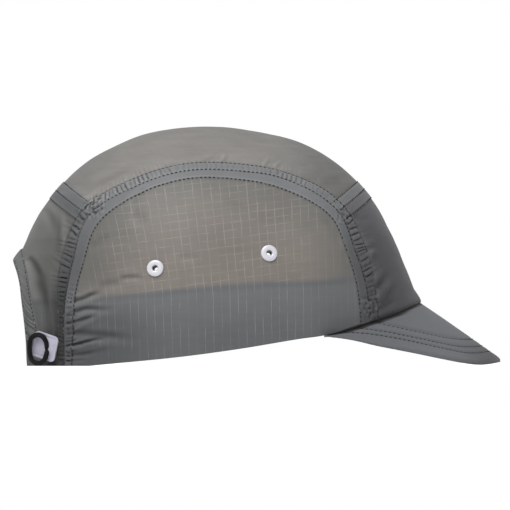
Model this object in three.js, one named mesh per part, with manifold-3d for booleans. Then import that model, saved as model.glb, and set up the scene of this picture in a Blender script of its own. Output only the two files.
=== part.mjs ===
import * as THREE from "three";
import { mergeVertices } from "three/addons/utils/BufferGeometryUtils.js";
import Module from "manifold-3d";

// A soft five-panel running cap of thin ripstop, in millimetres. +X points to the peak, +Y to the
// wearer's left, +Z up. The cap stands on its rear rim and on the edge of its peak, at z = 0.

// Wall thicknesses and the clearance that neighbouring pieces keep.
const CLOTH = 1.2;
const TAPE_THICKNESS = 0.8;
const BAND_THICKNESS = 1;
const GAP = 0.3;

// The crown's cloth lies at these distances from one centre. A row is an elevation in degrees, and
// the columns are bearings 45 degrees apart, from the front round to the back.
const CROWN_CENTRE = new THREE.Vector3(-22, 0, 40);
const BEARINGS = ["front", "temple", "side", "rearQuarter", "back"];
const CROWN_RADII = [
  { elevation: -30, front: 134, temple: 100, side: 90, rearQuarter: 102, back: 121 },
  { elevation: -15, front: 119.5, temple: 94, side: 84.5, rearQuarter: 98, back: 113 },
  { elevation: 0, front: 109.2, temple: 91, side: 82, rearQuarter: 97, back: 110.7 },
  { elevation: 15, front: 101.7, temple: 89.5, side: 82, rearQuarter: 96.5, back: 109.5 },
  { elevation: 30, front: 99.8, temple: 89.5, side: 83.6, rearQuarter: 95.6, back: 106 },
  { elevation: 45, front: 97.6, temple: 90.2, side: 85.8, rearQuarter: 94.2, back: 102.3 },
  { elevation: 60, front: 95, temple: 91, side: 88.2, rearQuarter: 92.6, back: 97.6 },
  { elevation: 75, front: 91.7, temple: 91.2, side: 90.7, rearQuarter: 91.9, back: 93.6 },
  { elevation: 90, front: 91.6, temple: 91.6, side: 91.6, rearQuarter: 91.6, back: 91.6 },
  { elevation: 105, front: 93.6, temple: 91.9, side: 90.7, rearQuarter: 91.2, back: 91.7 },
];

// Height of the rim along the cap. Behind the first row it lies on the ground.
const RIM_HEIGHTS = [
  { x: -93, z: 0 },
  { x: -75, z: 1.7 },
  { x: -42, z: 5 },
  { x: -9.4, z: 9.4 },
  { x: 23.7, z: 14.9 },
  { x: 38, z: 17 },
  { x: 57.3, z: 22.3 },
  { x: 75.6, z: 27.9 },
  { x: 90.3, z: 33.9 },
];

// The arched seam of a side panel, seen from the side, from its rear foot to its front foot. The
// cross seams of the top panel meet it at two of its knots.
const SEAM_KNOTS = [
  { x: -105.1, z: 0 },
  { x: -105.2, z: 28 },
  { x: -102.6, z: 56 },
  { x: -92.6, z: 82.2 },
  { x: -68, z: 97.2 },
  { x: -40, z: 106.2 },
  { x: -10, z: 106.6 },
  { x: 18, z: 101.9 },
  { x: 44.3, z: 84.8 },
  { x: 55.5, z: 64 },
  { x: 61, z: 44 },
  { x: 62.7, z: 23.6 },
];
const REAR_JUNCTION = 3;
const FRONT_JUNCTION = 8;
const FRONT_CROSS_HEIGHT = 97;
const REAR_CROSS_HEIGHT = 97;

// Cells of the panel grids: along a seam's rear or front leg, along its top, and across the cap.
const LEG_CELLS = 18;
const TOP_CELLS = 24;
const CROSS_CELLS = 10;
const BACK_CELLS = 5;

// Relief of the cloth: the raised band over each seam tape, the gathers sewn into it at the rear
// and front, the long folds low at the rear, and the valley beside the elastic hem.
const TAPE_WIDTH = 12;
const BAND_RISE = 0.5;
const GATHER_RISE = 0.8;
const GATHER_REACH = 11;
const FOLD_REACH = 38;
const FOLD_TOP = 34;
const VALLEY_DEPTH = 2.2;
const VALLEY_TOP = 62;

// The arched opening at the back, the section of the elastic hem round it, and how far the hem's
// free edge turns outwards, by the angle round the opening from a foot to the top.
const OPENING = { halfWidth: 30, height: 56, power: 2.2 };
const HEM_WIDTH = 12;
const HEM_PROFILE = [
  { across: 0, out: 0.4, in: -1.1 },
  { across: 3, out: 0.9, in: -1.7 },
  { across: 9, out: 0.9, in: -1.7 },
  { across: 11.7, out: 0.2, in: -1.3 },
];
const HEM_FLARES = [
  { angle: 0, out: 3.5 },
  { angle: 14, out: 2 },
  { angle: 32, out: 0.9 },
  { angle: 50, out: 0.6 },
  { angle: 70, out: 1.8 },
  { angle: 90, out: 3.3 },
];
const HEM_CORNER = 52;

// The front panel turns outwards over its last few millimetres, where it meets the peak.
const FRONT_FLARE = 1.7;
const FRONT_FLARE_HEIGHT = 8;

// Sweatband inside the rim.
const BAND_LIFT = 1.5;
const BAND_HEIGHT_SIDE = 35;
const BAND_HEIGHT_FRONT = 29;
const BAND_REAR_BEARING = 149;
const BAND_CELLS = 40;

// Peak: an outline seen from above, and the height of its lower edge along the cap.
const PEAK = { rootX: 37.4, reach: 96.4, halfWidth: 72, power: 2.15 };
const PEAK_EDGE_HEIGHTS = [
  { x: 37.4, z: 15.4 },
  { x: 54, z: 13.2 },
  { x: 67.7, z: 10.4 },
  { x: 89.7, z: 5.9 },
  { x: 104, z: 2.9 },
  { x: 115, z: 0.8 },
  { x: 122, z: 0 },
  { x: 128, z: 0.4 },
  { x: 134, z: 1.6 },
];
const PEAK_DEPTH = 2.6;
const PEAK_CORNER_DEPTH = 1.4;
const PEAK_CROWNING = 1.7;
const PEAK_SEAT = 0.6;
const PEAK_CELLS = 28;
const PEAK_ROWS = 5;

// Eyelets: places seen from the side, and the lathe sizes of one eyelet.
const EYELETS = [
  { name: "rear", x: -55.6, z: 53.4 },
  { name: "front", x: 6.6, z: 61.6 },
];
const EYELET = { flange: 4.6, innerFlange: 4, barrel: 2.3, bore: 1.4, lip: 0.9 };
const EYELET_HOLE = 2.6;
const EYELET_SEGMENTS = 12;

// Pull tab of the elastic cord, low on the right rear leg: its middle seen from the side, its size,
// its tilt in its own plane, and how far it turns to the side and stands off the crown.
const TAB = { x: -115, z: 9.8, width: 17, height: 14.5, corner: 2.6, thickness: 1.4 };
const TAB_TILT = -14;
const TAB_TURN = 9;
const TAB_LIFT = 2.5;
const CORD_DIAMETER = 2.7;
const CORD_SIDES = 8;
const CORD_STEPS = 32;

// Route of the cord loop's middle line in the tab's own frame: forward, up and out of its face.
const CORD_ROUTE = [
  [1.3, 3.8, 1.7],
  [0, 6, 1.75],
  [-3, 7.2, 1.75],
  [-6.2, 6, 1.75],
  [-7.9, 3.1, 1.75],
  [-8.2, -0.8, 1.75],
  [-7.9, -4.4, 1.75],
  [-6.3, -7.1, 1.75],
  [-3.2, -8.3, 1.75],
  [-0.2, -7.2, 1.75],
  [1.4, -5.2, 1.75],
  [1.9, -3.2, 1.7],
];

const DEGREE = Math.PI / 180;
const UP = new THREE.Vector3(0, 0, 1);

const solids = await Module();
solids.setup();

// A smooth curve through a table's rows: gives the column's value at a position.
function tableCurve(rows, position, column) {
  const places = rows.map((row) => row[position]);
  const values = rows.map((row) => row[column]);
  const curve = new THREE.CubicInterpolant(places, values, 1);
  return (at) => curve.evaluate(THREE.MathUtils.clamp(at, places[0], places.at(-1)))[0];
}

const crownRows = new THREE.CubicInterpolant(
  CROWN_RADII.map((row) => row.elevation),
  CROWN_RADII.flatMap((row) => BEARINGS.map((name) => row[name])),
  BEARINGS.length,
);
const rimHeight = tableCurve(RIM_HEIGHTS, "x", "z");
const peakEdgeHeight = tableCurve(PEAK_EDGE_HEIGHTS, "x", "z");
const hemFlare = tableCurve(HEM_FLARES, "angle", "out");

// Share of one bearing column in the radius at an angle, by a cosine series through all columns.
function bearingShare(column, angle) {
  const last = BEARINGS.length - 1;
  let sum = 0;
  for (let wave = 0; wave <= last; wave++) {
    const half = wave === 0 || wave === last ? 0.5 : 1;
    sum += half * Math.cos((wave * column * Math.PI) / last) * Math.cos(wave * angle);
  }
  return ((column === 0 || column === last ? 1 : 2) * sum) / last;
}

// Distance of the crown's cloth from the centre, in a unit direction.
function crownRadius(direction) {
  const elevation = Math.asin(THREE.MathUtils.clamp(direction.z, -1, 1)) / DEGREE;
  const angle = Math.atan2(Math.abs(direction.y), direction.x);
  const radii = crownRows.evaluate(Math.max(elevation, CROWN_RADII[0].elevation));
  return radii.reduce((sum, radius, column) => sum + radius * bearingShare(column, angle), 0);
}

// How far a point lies outside the crown's cloth, measured from the centre.
function outside(point) {
  const ray = point.clone().sub(CROWN_CENTRE);
  const length = ray.length();
  return length - crownRadius(ray.normalize());
}

// The crown point on a line from an inner point in a direction, found by halving.
function crownOnLine(from, direction) {
  let near = 0;
  let far = 160;
  for (let step = 0; step < 32; step++) {
    const middle = (near + far) / 2;
    const point = from.clone().addScaledVector(direction, middle);
    if (outside(point) < 0) near = middle;
    else far = middle;
  }
  return from.clone().addScaledVector(direction, (near + far) / 2);
}

// Puts a point on the crown: level at heights under the centre, and away from the centre above it.
function settle(point) {
  const level = Math.min(point.z, CROWN_CENTRE.z);
  const from = new THREE.Vector3(CROWN_CENTRE.x, 0, level);
  return crownOnLine(from, point.clone().sub(from).normalize());
}

// Unit normal of the crown at a point, out of the cloth.
function crownNormal(point) {
  const step = 0.05;
  const slope = ["x", "y", "z"].map((axis) => {
    const ahead = point.clone();
    const behind = point.clone();
    ahead[axis] += step;
    behind[axis] -= step;
    return outside(ahead) - outside(behind);
  });
  return new THREE.Vector3(...slope).normalize();
}

function levelled(vector) {
  return new THREE.Vector3(vector.x, vector.y, 0).normalize();
}

function mirrored(point) {
  return new THREE.Vector3(point.x, -point.y, point.z);
}

// Crown point of the right side at a side-view place.
function sidePoint(x, z) {
  return crownOnLine(new THREE.Vector3(x, 0, z), new THREE.Vector3(0, -1, 0));
}

// Crown point behind the centre at a place seen from the back.
function backPoint(y, z) {
  return crownOnLine(new THREE.Vector3(CROWN_CENTRE.x, y, z), new THREE.Vector3(-1, 0, 0));
}

// Crown point of the middle line at a height: ahead of the centre, or behind it.
function middlePoint(z, ahead) {
  return crownOnLine(new THREE.Vector3(CROWN_CENTRE.x, 0, z), new THREE.Vector3(ahead, 0, 0));
}

// Rim point at a bearing from the front, in radians, with a height above the rim.
function rimPoint(bearing, above = 0) {
  const direction = new THREE.Vector3(Math.cos(bearing), Math.sin(bearing), 0);
  let height = 0;
  let point = null;
  for (let step = 0; step < 5; step++) {
    point = crownOnLine(new THREE.Vector3(CROWN_CENTRE.x, 0, height), direction);
    height = rimHeight(point.x) + above;
  }
  return point.setZ(height);
}

function bearingOf(point) {
  return Math.atan2(point.y, point.x - CROWN_CENTRE.x);
}

// How far the rim turns out where it meets the peak: most at the front.
function frontFlare(point) {
  return FRONT_FLARE * THREE.MathUtils.smoothstep(Math.cos(bearingOf(point)), 0.88, 1);
}

// Positions from 0 to 1 that crowd towards both ends, each kept a little inside.
function spread(cells, crowding, inset) {
  return Array.from({ length: cells + 1 }, (_, index) => {
    const even = index / cells;
    const crowded = even - (crowding * Math.sin(2 * Math.PI * even)) / (2 * Math.PI);
    return inset + crowded * (1 - 2 * inset);
  });
}

const seamCurve = new THREE.CatmullRomCurve3(
  SEAM_KNOTS.map((knot, index) => {
    const foot = index === 0 || index === SEAM_KNOTS.length - 1;
    return sidePoint(knot.x, foot ? rimHeight(knot.x) : knot.z);
  }),
);

// Point of the right side seam at a knot number, which may lie between two knots.
function seamPoint(knot) {
  return settle(seamCurve.getPoint(knot / (SEAM_KNOTS.length - 1)));
}

// An edge of a panel that follows the right side seam from one knot to another.
function seamEdge(from, to) {
  return (share) => seamPoint(from + (to - from) * share);
}

// An edge that crosses the cap from the right side seam over the middle line to the left.
function crossEdge(junction, middle) {
  const right = seamPoint(junction);
  const curve = new THREE.CatmullRomCurve3([right, middle, mirrored(right)]);
  return (share) => settle(curve.getPoint(share));
}

function mirroredEdge(edge) {
  return (share) => mirrored(edge(share));
}

const rearLeg = seamEdge(0, REAR_JUNCTION);
const archTop = seamEdge(REAR_JUNCTION, FRONT_JUNCTION);
const frontLeg = seamEdge(SEAM_KNOTS.length - 1, FRONT_JUNCTION);
const frontCross = crossEdge(FRONT_JUNCTION, middlePoint(FRONT_CROSS_HEIGHT, 1));
const rearCross = crossEdge(REAR_JUNCTION, middlePoint(REAR_CROSS_HEIGHT, -1));
const rearFootBearing = bearingOf(seamPoint(0));
const frontFootBearing = bearingOf(seamPoint(SEAM_KNOTS.length - 1));

function rimEdge(from, to) {
  return (share) => rimPoint(from + (to - from) * share);
}

// Spacings of the panel grids, shared by both panels of a seam so that their facets meet.
const SEAM_INSET = 0.0015;
const legShares = spread(LEG_CELLS, 0.15, SEAM_INSET);
const topShares = spread(TOP_CELLS, 0.35, SEAM_INSET);
const crossShares = spread(CROSS_CELLS, 0.45, SEAM_INSET * 1.3);

// The samples of the right side seam, from its rear foot to its front foot.
const seamSamples = [
  ...legShares.map(rearLeg),
  ...topShares.slice(1, -1).map(archTop),
  ...legShares.map(frontLeg).reverse(),
];

// Distance from the nearer side seam, with the number of the sample that lies nearest.
function seamDistance(point) {
  const right = new THREE.Vector3(point.x, -Math.abs(point.y), point.z);
  const closest = new THREE.Vector3();
  let best = { distance: Infinity, sample: 0 };
  for (let index = 0; index < seamSamples.length - 1; index++) {
    const line = new THREE.Line3(seamSamples[index], seamSamples[index + 1]);
    line.closestPointToPoint(right, true, closest);
    const distance = closest.distanceTo(right);
    if (distance < best.distance) {
      const nearer = line.start.distanceTo(right) < line.end.distanceTo(right);
      best = { distance, sample: nearer ? index : index + 1 };
    }
  }
  return best;
}

function fade(value, full, none) {
  return 1 - THREE.MathUtils.smoothstep(value, full, none);
}

// Rise of the cloth over the seam tape, with the gathers that the stitching draws into it.
function seamRelief(point) {
  const { distance, sample } = seamDistance(point);
  const band = BAND_RISE * fade(distance, TAPE_WIDTH / 2 - 1, TAPE_WIDTH / 2 + 2);
  const front = THREE.MathUtils.smoothstep(point.x, 40, 56);
  const rear = fade(point.x, -70, -20);
  const gathered = Math.max(rear, 0.6 * front) * (sample % 2);
  return band + GATHER_RISE * gathered * fade(distance, TAPE_WIDTH / 4, GATHER_REACH);
}

// Long folds that run forward from the rear leg, low on a side panel, row by row.
function foldRelief(point, row) {
  const forward = seamDistance(point).distance;
  const low = fade(point.z, FOLD_TOP - 12, FOLD_TOP) * THREE.MathUtils.smoothstep(point.z, 3, 7);
  const rear = fade(point.x, -80, -55);
  return GATHER_RISE * (row % 2) * low * rear * fade(forward, TAPE_WIDTH / 2, FOLD_REACH);
}

// Grid of points between four edges, each edge sampled at the given shares.
function patchGrid(edges, across, along) {
  const bottom = across.map(edges.bottom);
  const top = across.map(edges.top);
  const left = along.map(edges.left);
  const right = along.map(edges.right);
  const corners = [edges.bottom(0), edges.bottom(1), edges.top(0), edges.top(1)];
  return across.map((u, i) =>
    along.map((v, j) => {
      const weights = [(1 - u) * (1 - v), u * (1 - v), (1 - u) * v, u * v];
      const point = bottom[i].clone().multiplyScalar(1 - v).addScaledVector(top[i], v);
      point.addScaledVector(left[j], 1 - u).addScaledVector(right[j], u);
      corners.forEach((corner, index) => point.addScaledVector(corner, -weights[index]));
      return settle(point);
    }),
  );
}

// A closed wall between two grids of the same size, with its borders stitched and its faces out.
function wallBetween(outer, inner) {
  const columns = outer.length;
  const rows = outer[0].length;
  const count = columns * rows;
  const triangles = [];
  const quad = (a, b, c, d) => triangles.push(a, b, c, a, c, d);
  for (let i = 0; i < columns - 1; i++) {
    for (let j = 0; j < rows - 1; j++) {
      const corner = i * rows + j;
      quad(corner, corner + rows, corner + rows + 1, corner + 1);
      quad(corner + count, corner + 1 + count, corner + rows + 1 + count, corner + rows + count);
    }
  }
  const border = [];
  for (let i = 0; i < columns - 1; i++) border.push(i * rows);
  for (let j = 0; j < rows - 1; j++) border.push((columns - 1) * rows + j);
  for (let i = columns - 1; i > 0; i--) border.push(i * rows + rows - 1);
  for (let j = rows - 1; j > 0; j--) border.push(j);
  border.forEach((from, index) => {
    const to = border[(index + 1) % border.length];
    quad(to, from, from + count, to + count);
  });
  const points = [...outer.flat(), ...inner.flat()];
  return facingOut(points, triangles);
}

// A geometry of points and triangles, turned so that its faces point out of the solid.
function facingOut(points, triangles) {
  let volume = 0;
  for (let index = 0; index < triangles.length; index += 3) {
    const [a, b, c] = triangles.slice(index, index + 3).map((corner) => points[corner]);
    volume += a.dot(new THREE.Vector3().crossVectors(b, c));
  }
  if (volume < 0) triangles.reverse();
  const geometry = new THREE.BufferGeometry().setFromPoints(points);
  geometry.setIndex(triangles);
  return geometry;
}

// The wall of a cloth panel: its grid raised by a relief, and its inner face one cloth further in.
// Points of the rim move level, so that the wall's foot stays flat.
function clothWall(grid, relief, onRim) {
  const outer = [];
  const inner = [];
  grid.forEach((column, i) => {
    outer.push([]);
    inner.push([]);
    column.forEach((point, j) => {
      const normal = crownNormal(point);
      const out = onRim(i, j) ? levelled(normal) : normal;
      const rise = relief(point, i, j);
      outer[i].push(point.clone().addScaledVector(out, rise));
      inner[i].push(point.clone().addScaledVector(out, rise - CLOTH));
    });
  });
  return wallBetween(outer, inner);
}

function cloth(color, roughness) {
  return new THREE.MeshStandardMaterial({ color, roughness, metalness: 0 });
}

const RIPSTOP = cloth(0x7d7a76, 0.75);
const FRONT_CLOTH = cloth(0x555457, 0.8);
const PEAK_CLOTH = cloth(0x6e6e71, 0.8);
const LINING_TAPE = cloth(0x5b5d5f, 0.85);
const WHITE_ENAMEL = new THREE.MeshStandardMaterial({ color: 0xe6e4ec, roughness: 0.35, metalness: 0 });
const TAB_WHITE = cloth(0xc9c7d6, 0.6);
const BLACK_ELASTIC = cloth(0x0b0b0c, 0.7);

function named(name, geometry, material) {
  const mesh = new THREE.Mesh(geometry, material);
  mesh.name = name;
  return mesh;
}

// Frame on the crown's right side: x forward, y up the cloth and z out of it.
function crownFrame(point) {
  const out = crownNormal(point);
  const forward = new THREE.Vector3().crossVectors(UP, out).normalize();
  const up = new THREE.Vector3().crossVectors(out, forward);
  return new THREE.Matrix4().makeBasis(forward, up, out).setPosition(point);
}

// Merged solid of a closed geometry, for joining and cutting.
function solidOf(geometry) {
  const bare = geometry.clone();
  bare.deleteAttribute("normal");
  bare.deleteAttribute("uv");
  const merged = mergeVertices(bare, 1e-4);
  return new solids.Manifold(
    new solids.Mesh({
      numProp: 3,
      vertProperties: new Float32Array(merged.attributes.position.array),
      triVerts: new Uint32Array(merged.index.array),
    }),
  );
}

function geometryOf(solid) {
  const mesh = solid.getMesh();
  const geometry = new THREE.BufferGeometry();
  geometry.setAttribute("position", new THREE.BufferAttribute(mesh.vertProperties, 3));
  geometry.setIndex(new THREE.BufferAttribute(mesh.triVerts, 1));
  geometry.computeVertexNormals();
  return geometry;
}

// Crown point under an eyelet on one side of the cap: -1 for the right, 1 for the left.
function eyeletPoint(eyelet, side) {
  const right = sidePoint(eyelet.x, eyelet.z);
  return side < 0 ? right : mirrored(right);
}

// A side panel: a D-shaped sheet between its arched seam and the rim, pierced for its eyelets.
function sidePanel(side) {
  const right = patchGrid(
    {
      bottom: rimEdge(rearFootBearing, frontFootBearing),
      top: archTop,
      left: rearLeg,
      right: frontLeg,
    },
    topShares,
    legShares,
  );
  const bearings = [rearFootBearing, frontFootBearing];
  right.forEach((column, i) => {
    column[0] = rimPoint(THREE.MathUtils.lerp(...bearings, topShares[i]));
  });
  const grid = side < 0 ? right : right.map((column) => column.map(mirrored));
  const relief = (point, i, j) => Math.max(seamRelief(point), foldRelief(point, j));
  let wall = solidOf(clothWall(grid, relief, (i, j) => j === 0));
  for (const eyelet of EYELETS) {
    const drill = new THREE.CylinderGeometry(EYELET_HOLE, EYELET_HOLE, 12, EYELET_SEGMENTS);
    drill.rotateX(Math.PI / 2);
    drill.applyMatrix4(crownFrame(eyeletPoint(eyelet, side)));
    wall = wall.subtract(solidOf(drill));
  }
  return geometryOf(wall);
}

function topPanel() {
  const grid = patchGrid(
    { bottom: rearCross, top: frontCross, left: archTop, right: mirroredEdge(archTop) },
    crossShares,
    topShares,
  );
  return clothWall(grid, seamRelief, () => false);
}

function frontPanel() {
  const grid = patchGrid(
    {
      bottom: rimEdge(frontFootBearing, -frontFootBearing),
      top: frontCross,
      left: frontLeg,
      right: mirroredEdge(frontLeg),
    },
    crossShares,
    legShares,
  );
  grid.forEach((column, i) => {
    column[0] = rimPoint(frontFootBearing * (1 - 2 * crossShares[i]));
  });
  const relief = (point, i) => {
    const above = point.z - grid[i][0].z;
    return seamRelief(point) + frontFlare(point) * fade(above, 0, FRONT_FLARE_HEIGHT);
  };
  return clothWall(grid, relief, (i, j) => j === 0);
}

// Point of an arch round the back opening, a distance outside it, at an angle from its right foot.
function archPoint(outward, angle) {
  const round = (value) => Math.sign(value) * Math.abs(value) ** (2 / OPENING.power);
  const y = -(OPENING.halfWidth + outward) * round(Math.cos(angle));
  return backPoint(y, (OPENING.height + outward) * round(Math.sin(angle)));
}

// Angles round the opening that pair with the samples of the back panel's outer edge.
const archAngles = [
  ...legShares.map((share) => share * HEM_CORNER),
  ...crossShares.slice(1, -1).map((share) => HEM_CORNER + share * (180 - 2 * HEM_CORNER)),
  ...legShares.map((share) => 180 - share * HEM_CORNER).reverse(),
].map((angle) => angle * DEGREE);
archAngles[0] = 0;
archAngles[archAngles.length - 1] = Math.PI;

// The back panel: two legs and a bridge between the hem and the seams.
function backPanel() {
  const outerEdge = [
    ...legShares.map(rearLeg),
    ...crossShares.slice(1, -1).map(rearCross),
    ...legShares.map(rearLeg).reverse().map(mirrored),
  ];
  outerEdge[0] = seamPoint(0);
  outerEdge[outerEdge.length - 1] = mirrored(seamPoint(0));
  const acrossShares = spread(BACK_CELLS, 0.4, 0.004);
  const grid = archAngles.map((angle, i) => {
    const inner = archPoint(HEM_WIDTH, angle);
    return acrossShares.map((share) => settle(inner.clone().lerp(outerEdge[i], share)));
  });
  const relief = (point, i, j) => {
    const leg = fade(point.z, VALLEY_TOP - 22, VALLEY_TOP);
    const valley = Math.sin(Math.PI * Math.min(1, acrossShares[j] * 1.5)) ** 2;
    return seamRelief(point) - VALLEY_DEPTH * valley * leg;
  };
  return clothWall(grid, relief, (i) => i === 0 || i === archAngles.length - 1);
}

// The elastic hem: a padded strip round the opening that turns outwards along its free edge.
function backHem() {
  const outer = [];
  const inner = [];
  archAngles.forEach((angle, i) => {
    outer.push([]);
    inner.push([]);
    for (const row of HEM_PROFILE) {
      const point = archPoint(row.across, angle);
      const foot = i === 0 || i === archAngles.length - 1;
      const out = foot ? levelled(crownNormal(point)) : crownNormal(point);
      const turn = hemFlare(Math.min(angle, Math.PI - angle) / DEGREE);
      const flare = turn * (1 - row.across / HEM_WIDTH) ** 1.2;
      outer[i].push(point.clone().addScaledVector(out, flare + row.out));
      inner[i].push(point.clone().addScaledVector(out, flare + row.in));
    }
  });
  return wallBetween(outer, inner);
}

// A tape under a seam: a strip that lies one cloth and a gap below the crown.
function seamTape(samples) {
  const outer = [];
  const inner = [];
  samples.forEach((sample, i) => {
    const before = samples[Math.max(i - 1, 0)];
    const after = samples[Math.min(i + 1, samples.length - 1)];
    const along = after.clone().sub(before).normalize();
    const across = new THREE.Vector3().crossVectors(crownNormal(sample), along).normalize();
    const row = [-0.5, 0.5].map((share) =>
      settle(sample.clone().addScaledVector(across, share * TAPE_WIDTH)),
    );
    const sunk = (depth) =>
      row.map((point) => point.clone().addScaledVector(crownNormal(point), -depth));
    outer.push(sunk(CLOTH + GAP));
    inner.push(sunk(CLOTH + GAP + TAPE_THICKNESS));
  });
  return wallBetween(outer, inner);
}

// The samples of a cross seam between the two side tapes.
function crossTapeSamples(edge) {
  const width = edge(0).distanceTo(edge(0.5)) * 2;
  const clear = (TAPE_WIDTH / 2 + 1) / width;
  const within = crossShares.filter((share) => share > clear && share < 1 - clear);
  return [clear, ...within, 1 - clear].map(edge);
}

// The side tape keeps clear of the rim at both feet.
function sideTapeSamples() {
  const samples = seamSamples.map((sample) => sample.clone());
  for (const end of [0, samples.length - 1]) {
    const next = samples[end === 0 ? 1 : end - 1];
    samples[end].lerp(next, 0.4);
  }
  return samples;
}

// The sweatband: one strip round the inside of the rim, open at the back.
function sweatband() {
  const outer = [];
  const inner = [];
  const depth = CLOTH + TAPE_THICKNESS + 3 * GAP;
  for (let i = 0; i <= BAND_CELLS; i++) {
    const bearing = BAND_REAR_BEARING * DEGREE * (2 * (i / BAND_CELLS) - 1);
    const ahead = THREE.MathUtils.smoothstep(Math.cos(bearing), 0.3, 0.9);
    const height = THREE.MathUtils.lerp(BAND_HEIGHT_SIDE, BAND_HEIGHT_FRONT, ahead);
    outer.push([]);
    inner.push([]);
    for (const share of [0, 0.5, 1]) {
      const point = rimPoint(bearing, BAND_LIFT + share * height);
      const normal = crownNormal(point);
      outer[i].push(point.clone().addScaledVector(normal, -depth));
      inner[i].push(point.clone().addScaledVector(normal, -depth - BAND_THICKNESS));
    }
  }
  return wallBetween(outer, inner);
}

// The peak: a board lofted from the rim to its outline, a little crowned, of one upright depth.
function peak() {
  const corner = Math.abs(bearingOf(sidePoint(PEAK.rootX, rimHeight(PEAK.rootX))));
  const round = (value) => Math.sign(value) * Math.abs(value) ** (2 / PEAK.power);
  const upper = [];
  const lower = [];
  for (let i = 0; i <= PEAK_CELLS; i++) {
    const share = (2 * i) / PEAK_CELLS - 1;
    const angle = (share * Math.PI) / 2;
    const broad = fade(Math.abs(share), 0.6, 1);
    const depth = THREE.MathUtils.lerp(PEAK_CORNER_DEPTH, PEAK_DEPTH, broad);
    const rim = rimPoint(corner * share);
    const outwards = frontFlare(rim) - CLOTH / 2;
    const root = rim.addScaledVector(levelled(crownNormal(rim)), outwards);
    root.z -= PEAK_SEAT;
    const x = PEAK.rootX + PEAK.reach * round(Math.cos(angle));
    const edge = new THREE.Vector3(x, PEAK.halfWidth * round(Math.sin(angle)), 0);
    edge.z = peakEdgeHeight(x) + depth;
    upper.push([]);
    lower.push([]);
    for (let j = 0; j <= PEAK_ROWS; j++) {
      const out = j / PEAK_ROWS;
      const point = root.clone().lerp(edge, out);
      point.z += broad * PEAK_CROWNING * 6.75 * out * (1 - out) ** 2;
      upper[i].push(point);
      lower[i].push(point.clone().addScaledVector(UP, -depth));
    }
  }
  return wallBetween(upper, lower);
}

// An eyelet: one lathed ring with a broad outer flange, a barrel through the cloth and a rolled
// flange inside it.
function eyeletRing() {
  const inside = -CLOTH - GAP - 0.2;
  const profile = [
    [EYELET.bore, 0.3 * EYELET.lip + GAP],
    [EYELET.barrel, EYELET.lip + GAP],
    [EYELET.flange - 0.8, EYELET.lip + GAP],
    [EYELET.flange, GAP],
    [EYELET.barrel, GAP],
    [EYELET.barrel, inside],
    [EYELET.innerFlange, inside],
    [EYELET.innerFlange - 0.4, inside - 0.6],
    [EYELET.bore, inside - 0.6],
  ].map(([radius, height]) => new THREE.Vector2(radius, height));
  profile.push(profile[0].clone());
  const ring = new THREE.LatheGeometry(profile.reverse(), EYELET_SEGMENTS);
  return ring.rotateX(Math.PI / 2);
}

// The tab's frame on the right rear leg: tilted in its plane and turned a little to the side.
function tabFrame() {
  const frame = crownFrame(sidePoint(TAB.x, TAB.z));
  frame.multiply(new THREE.Matrix4().makeTranslation(0, 0, TAB_LIFT));
  frame.multiply(new THREE.Matrix4().makeRotationY(TAB_TURN * DEGREE));
  return frame.multiply(new THREE.Matrix4().makeRotationZ(TAB_TILT * DEGREE));
}

function cordTab() {
  const halfWidth = TAB.width / 2;
  const halfHeight = TAB.height / 2;
  const outline = new THREE.Shape();
  for (const [right, up, start] of [[1, 1, 0], [-1, 1, 90], [-1, -1, 180], [1, -1, 270]]) {
    const x = right * (halfWidth - TAB.corner);
    const y = up * (halfHeight - TAB.corner);
    outline.absarc(x, y, TAB.corner, start * DEGREE, (start + 90) * DEGREE);
  }
  const options = { depth: TAB.thickness, bevelEnabled: false, curveSegments: 4 };
  return new THREE.ExtrudeGeometry(outline, options);
}

// The cord's loop: a round section led along its route.
function cordLoop() {
  const route = new THREE.CatmullRomCurve3(
    CORD_ROUTE.map(([forward, up, out]) => new THREE.Vector3(forward, up, out + TAB.thickness)),
  );
  const section = new THREE.Shape().absarc(0, 0, CORD_DIAMETER / 2, 0, 2 * Math.PI);
  return new THREE.ExtrudeGeometry(section, {
    steps: CORD_STEPS,
    extrudePath: route,
    curveSegments: CORD_SIDES / 2,
    bevelEnabled: false,
  });
}

// Assembly.
const cap = new THREE.Group();
const crown = new THREE.Group();
crown.add(
  named("front_panel", frontPanel(), FRONT_CLOTH),
  named("top_panel", topPanel(), RIPSTOP),
  named("back_panel", backPanel(), RIPSTOP),
  named("side_panel_right", sidePanel(-1), RIPSTOP),
  named("side_panel_left", sidePanel(1), RIPSTOP),
  named("back_hem", backHem(), RIPSTOP),
);

const inside = new THREE.Group();
inside.add(
  named("sweatband", sweatband(), LINING_TAPE),
  named("seam_tape_right", seamTape(sideTapeSamples()), LINING_TAPE),
  named("seam_tape_left", seamTape(sideTapeSamples().map(mirrored)), LINING_TAPE),
  named("seam_tape_front", seamTape(crossTapeSamples(frontCross)), LINING_TAPE),
  named("seam_tape_back", seamTape(crossTapeSamples(rearCross)), LINING_TAPE),
);

const trim = new THREE.Group();
for (const [sideName, side] of [["right", -1], ["left", 1]]) {
  for (const eyelet of EYELETS) {
    const ring = named(`eyelet_${sideName}_${eyelet.name}`, eyeletRing(), WHITE_ENAMEL);
    ring.applyMatrix4(crownFrame(eyeletPoint(eyelet, side)));
    trim.add(ring);
  }
}
const pull = new THREE.Group();
pull.applyMatrix4(tabFrame());
pull.add(named("cord_tab", cordTab(), TAB_WHITE), named("cord_loop", cordLoop(), BLACK_ELASTIC));
trim.add(pull);

cap.add(crown, inside, trim, named("peak", peak(), PEAK_CLOTH));

export default cap;
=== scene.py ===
"""A light running cap of thin grey ripstop: its cloth, seams, peak, eyelets, hem and cord.

Shapes are worked out in millimetres on one crown surface and become meshes in metres. The cap
faces +X, its left is +Y, and it stands on its rear rim and the edge of its peak at z = 0.
"""

from __future__ import annotations

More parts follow.
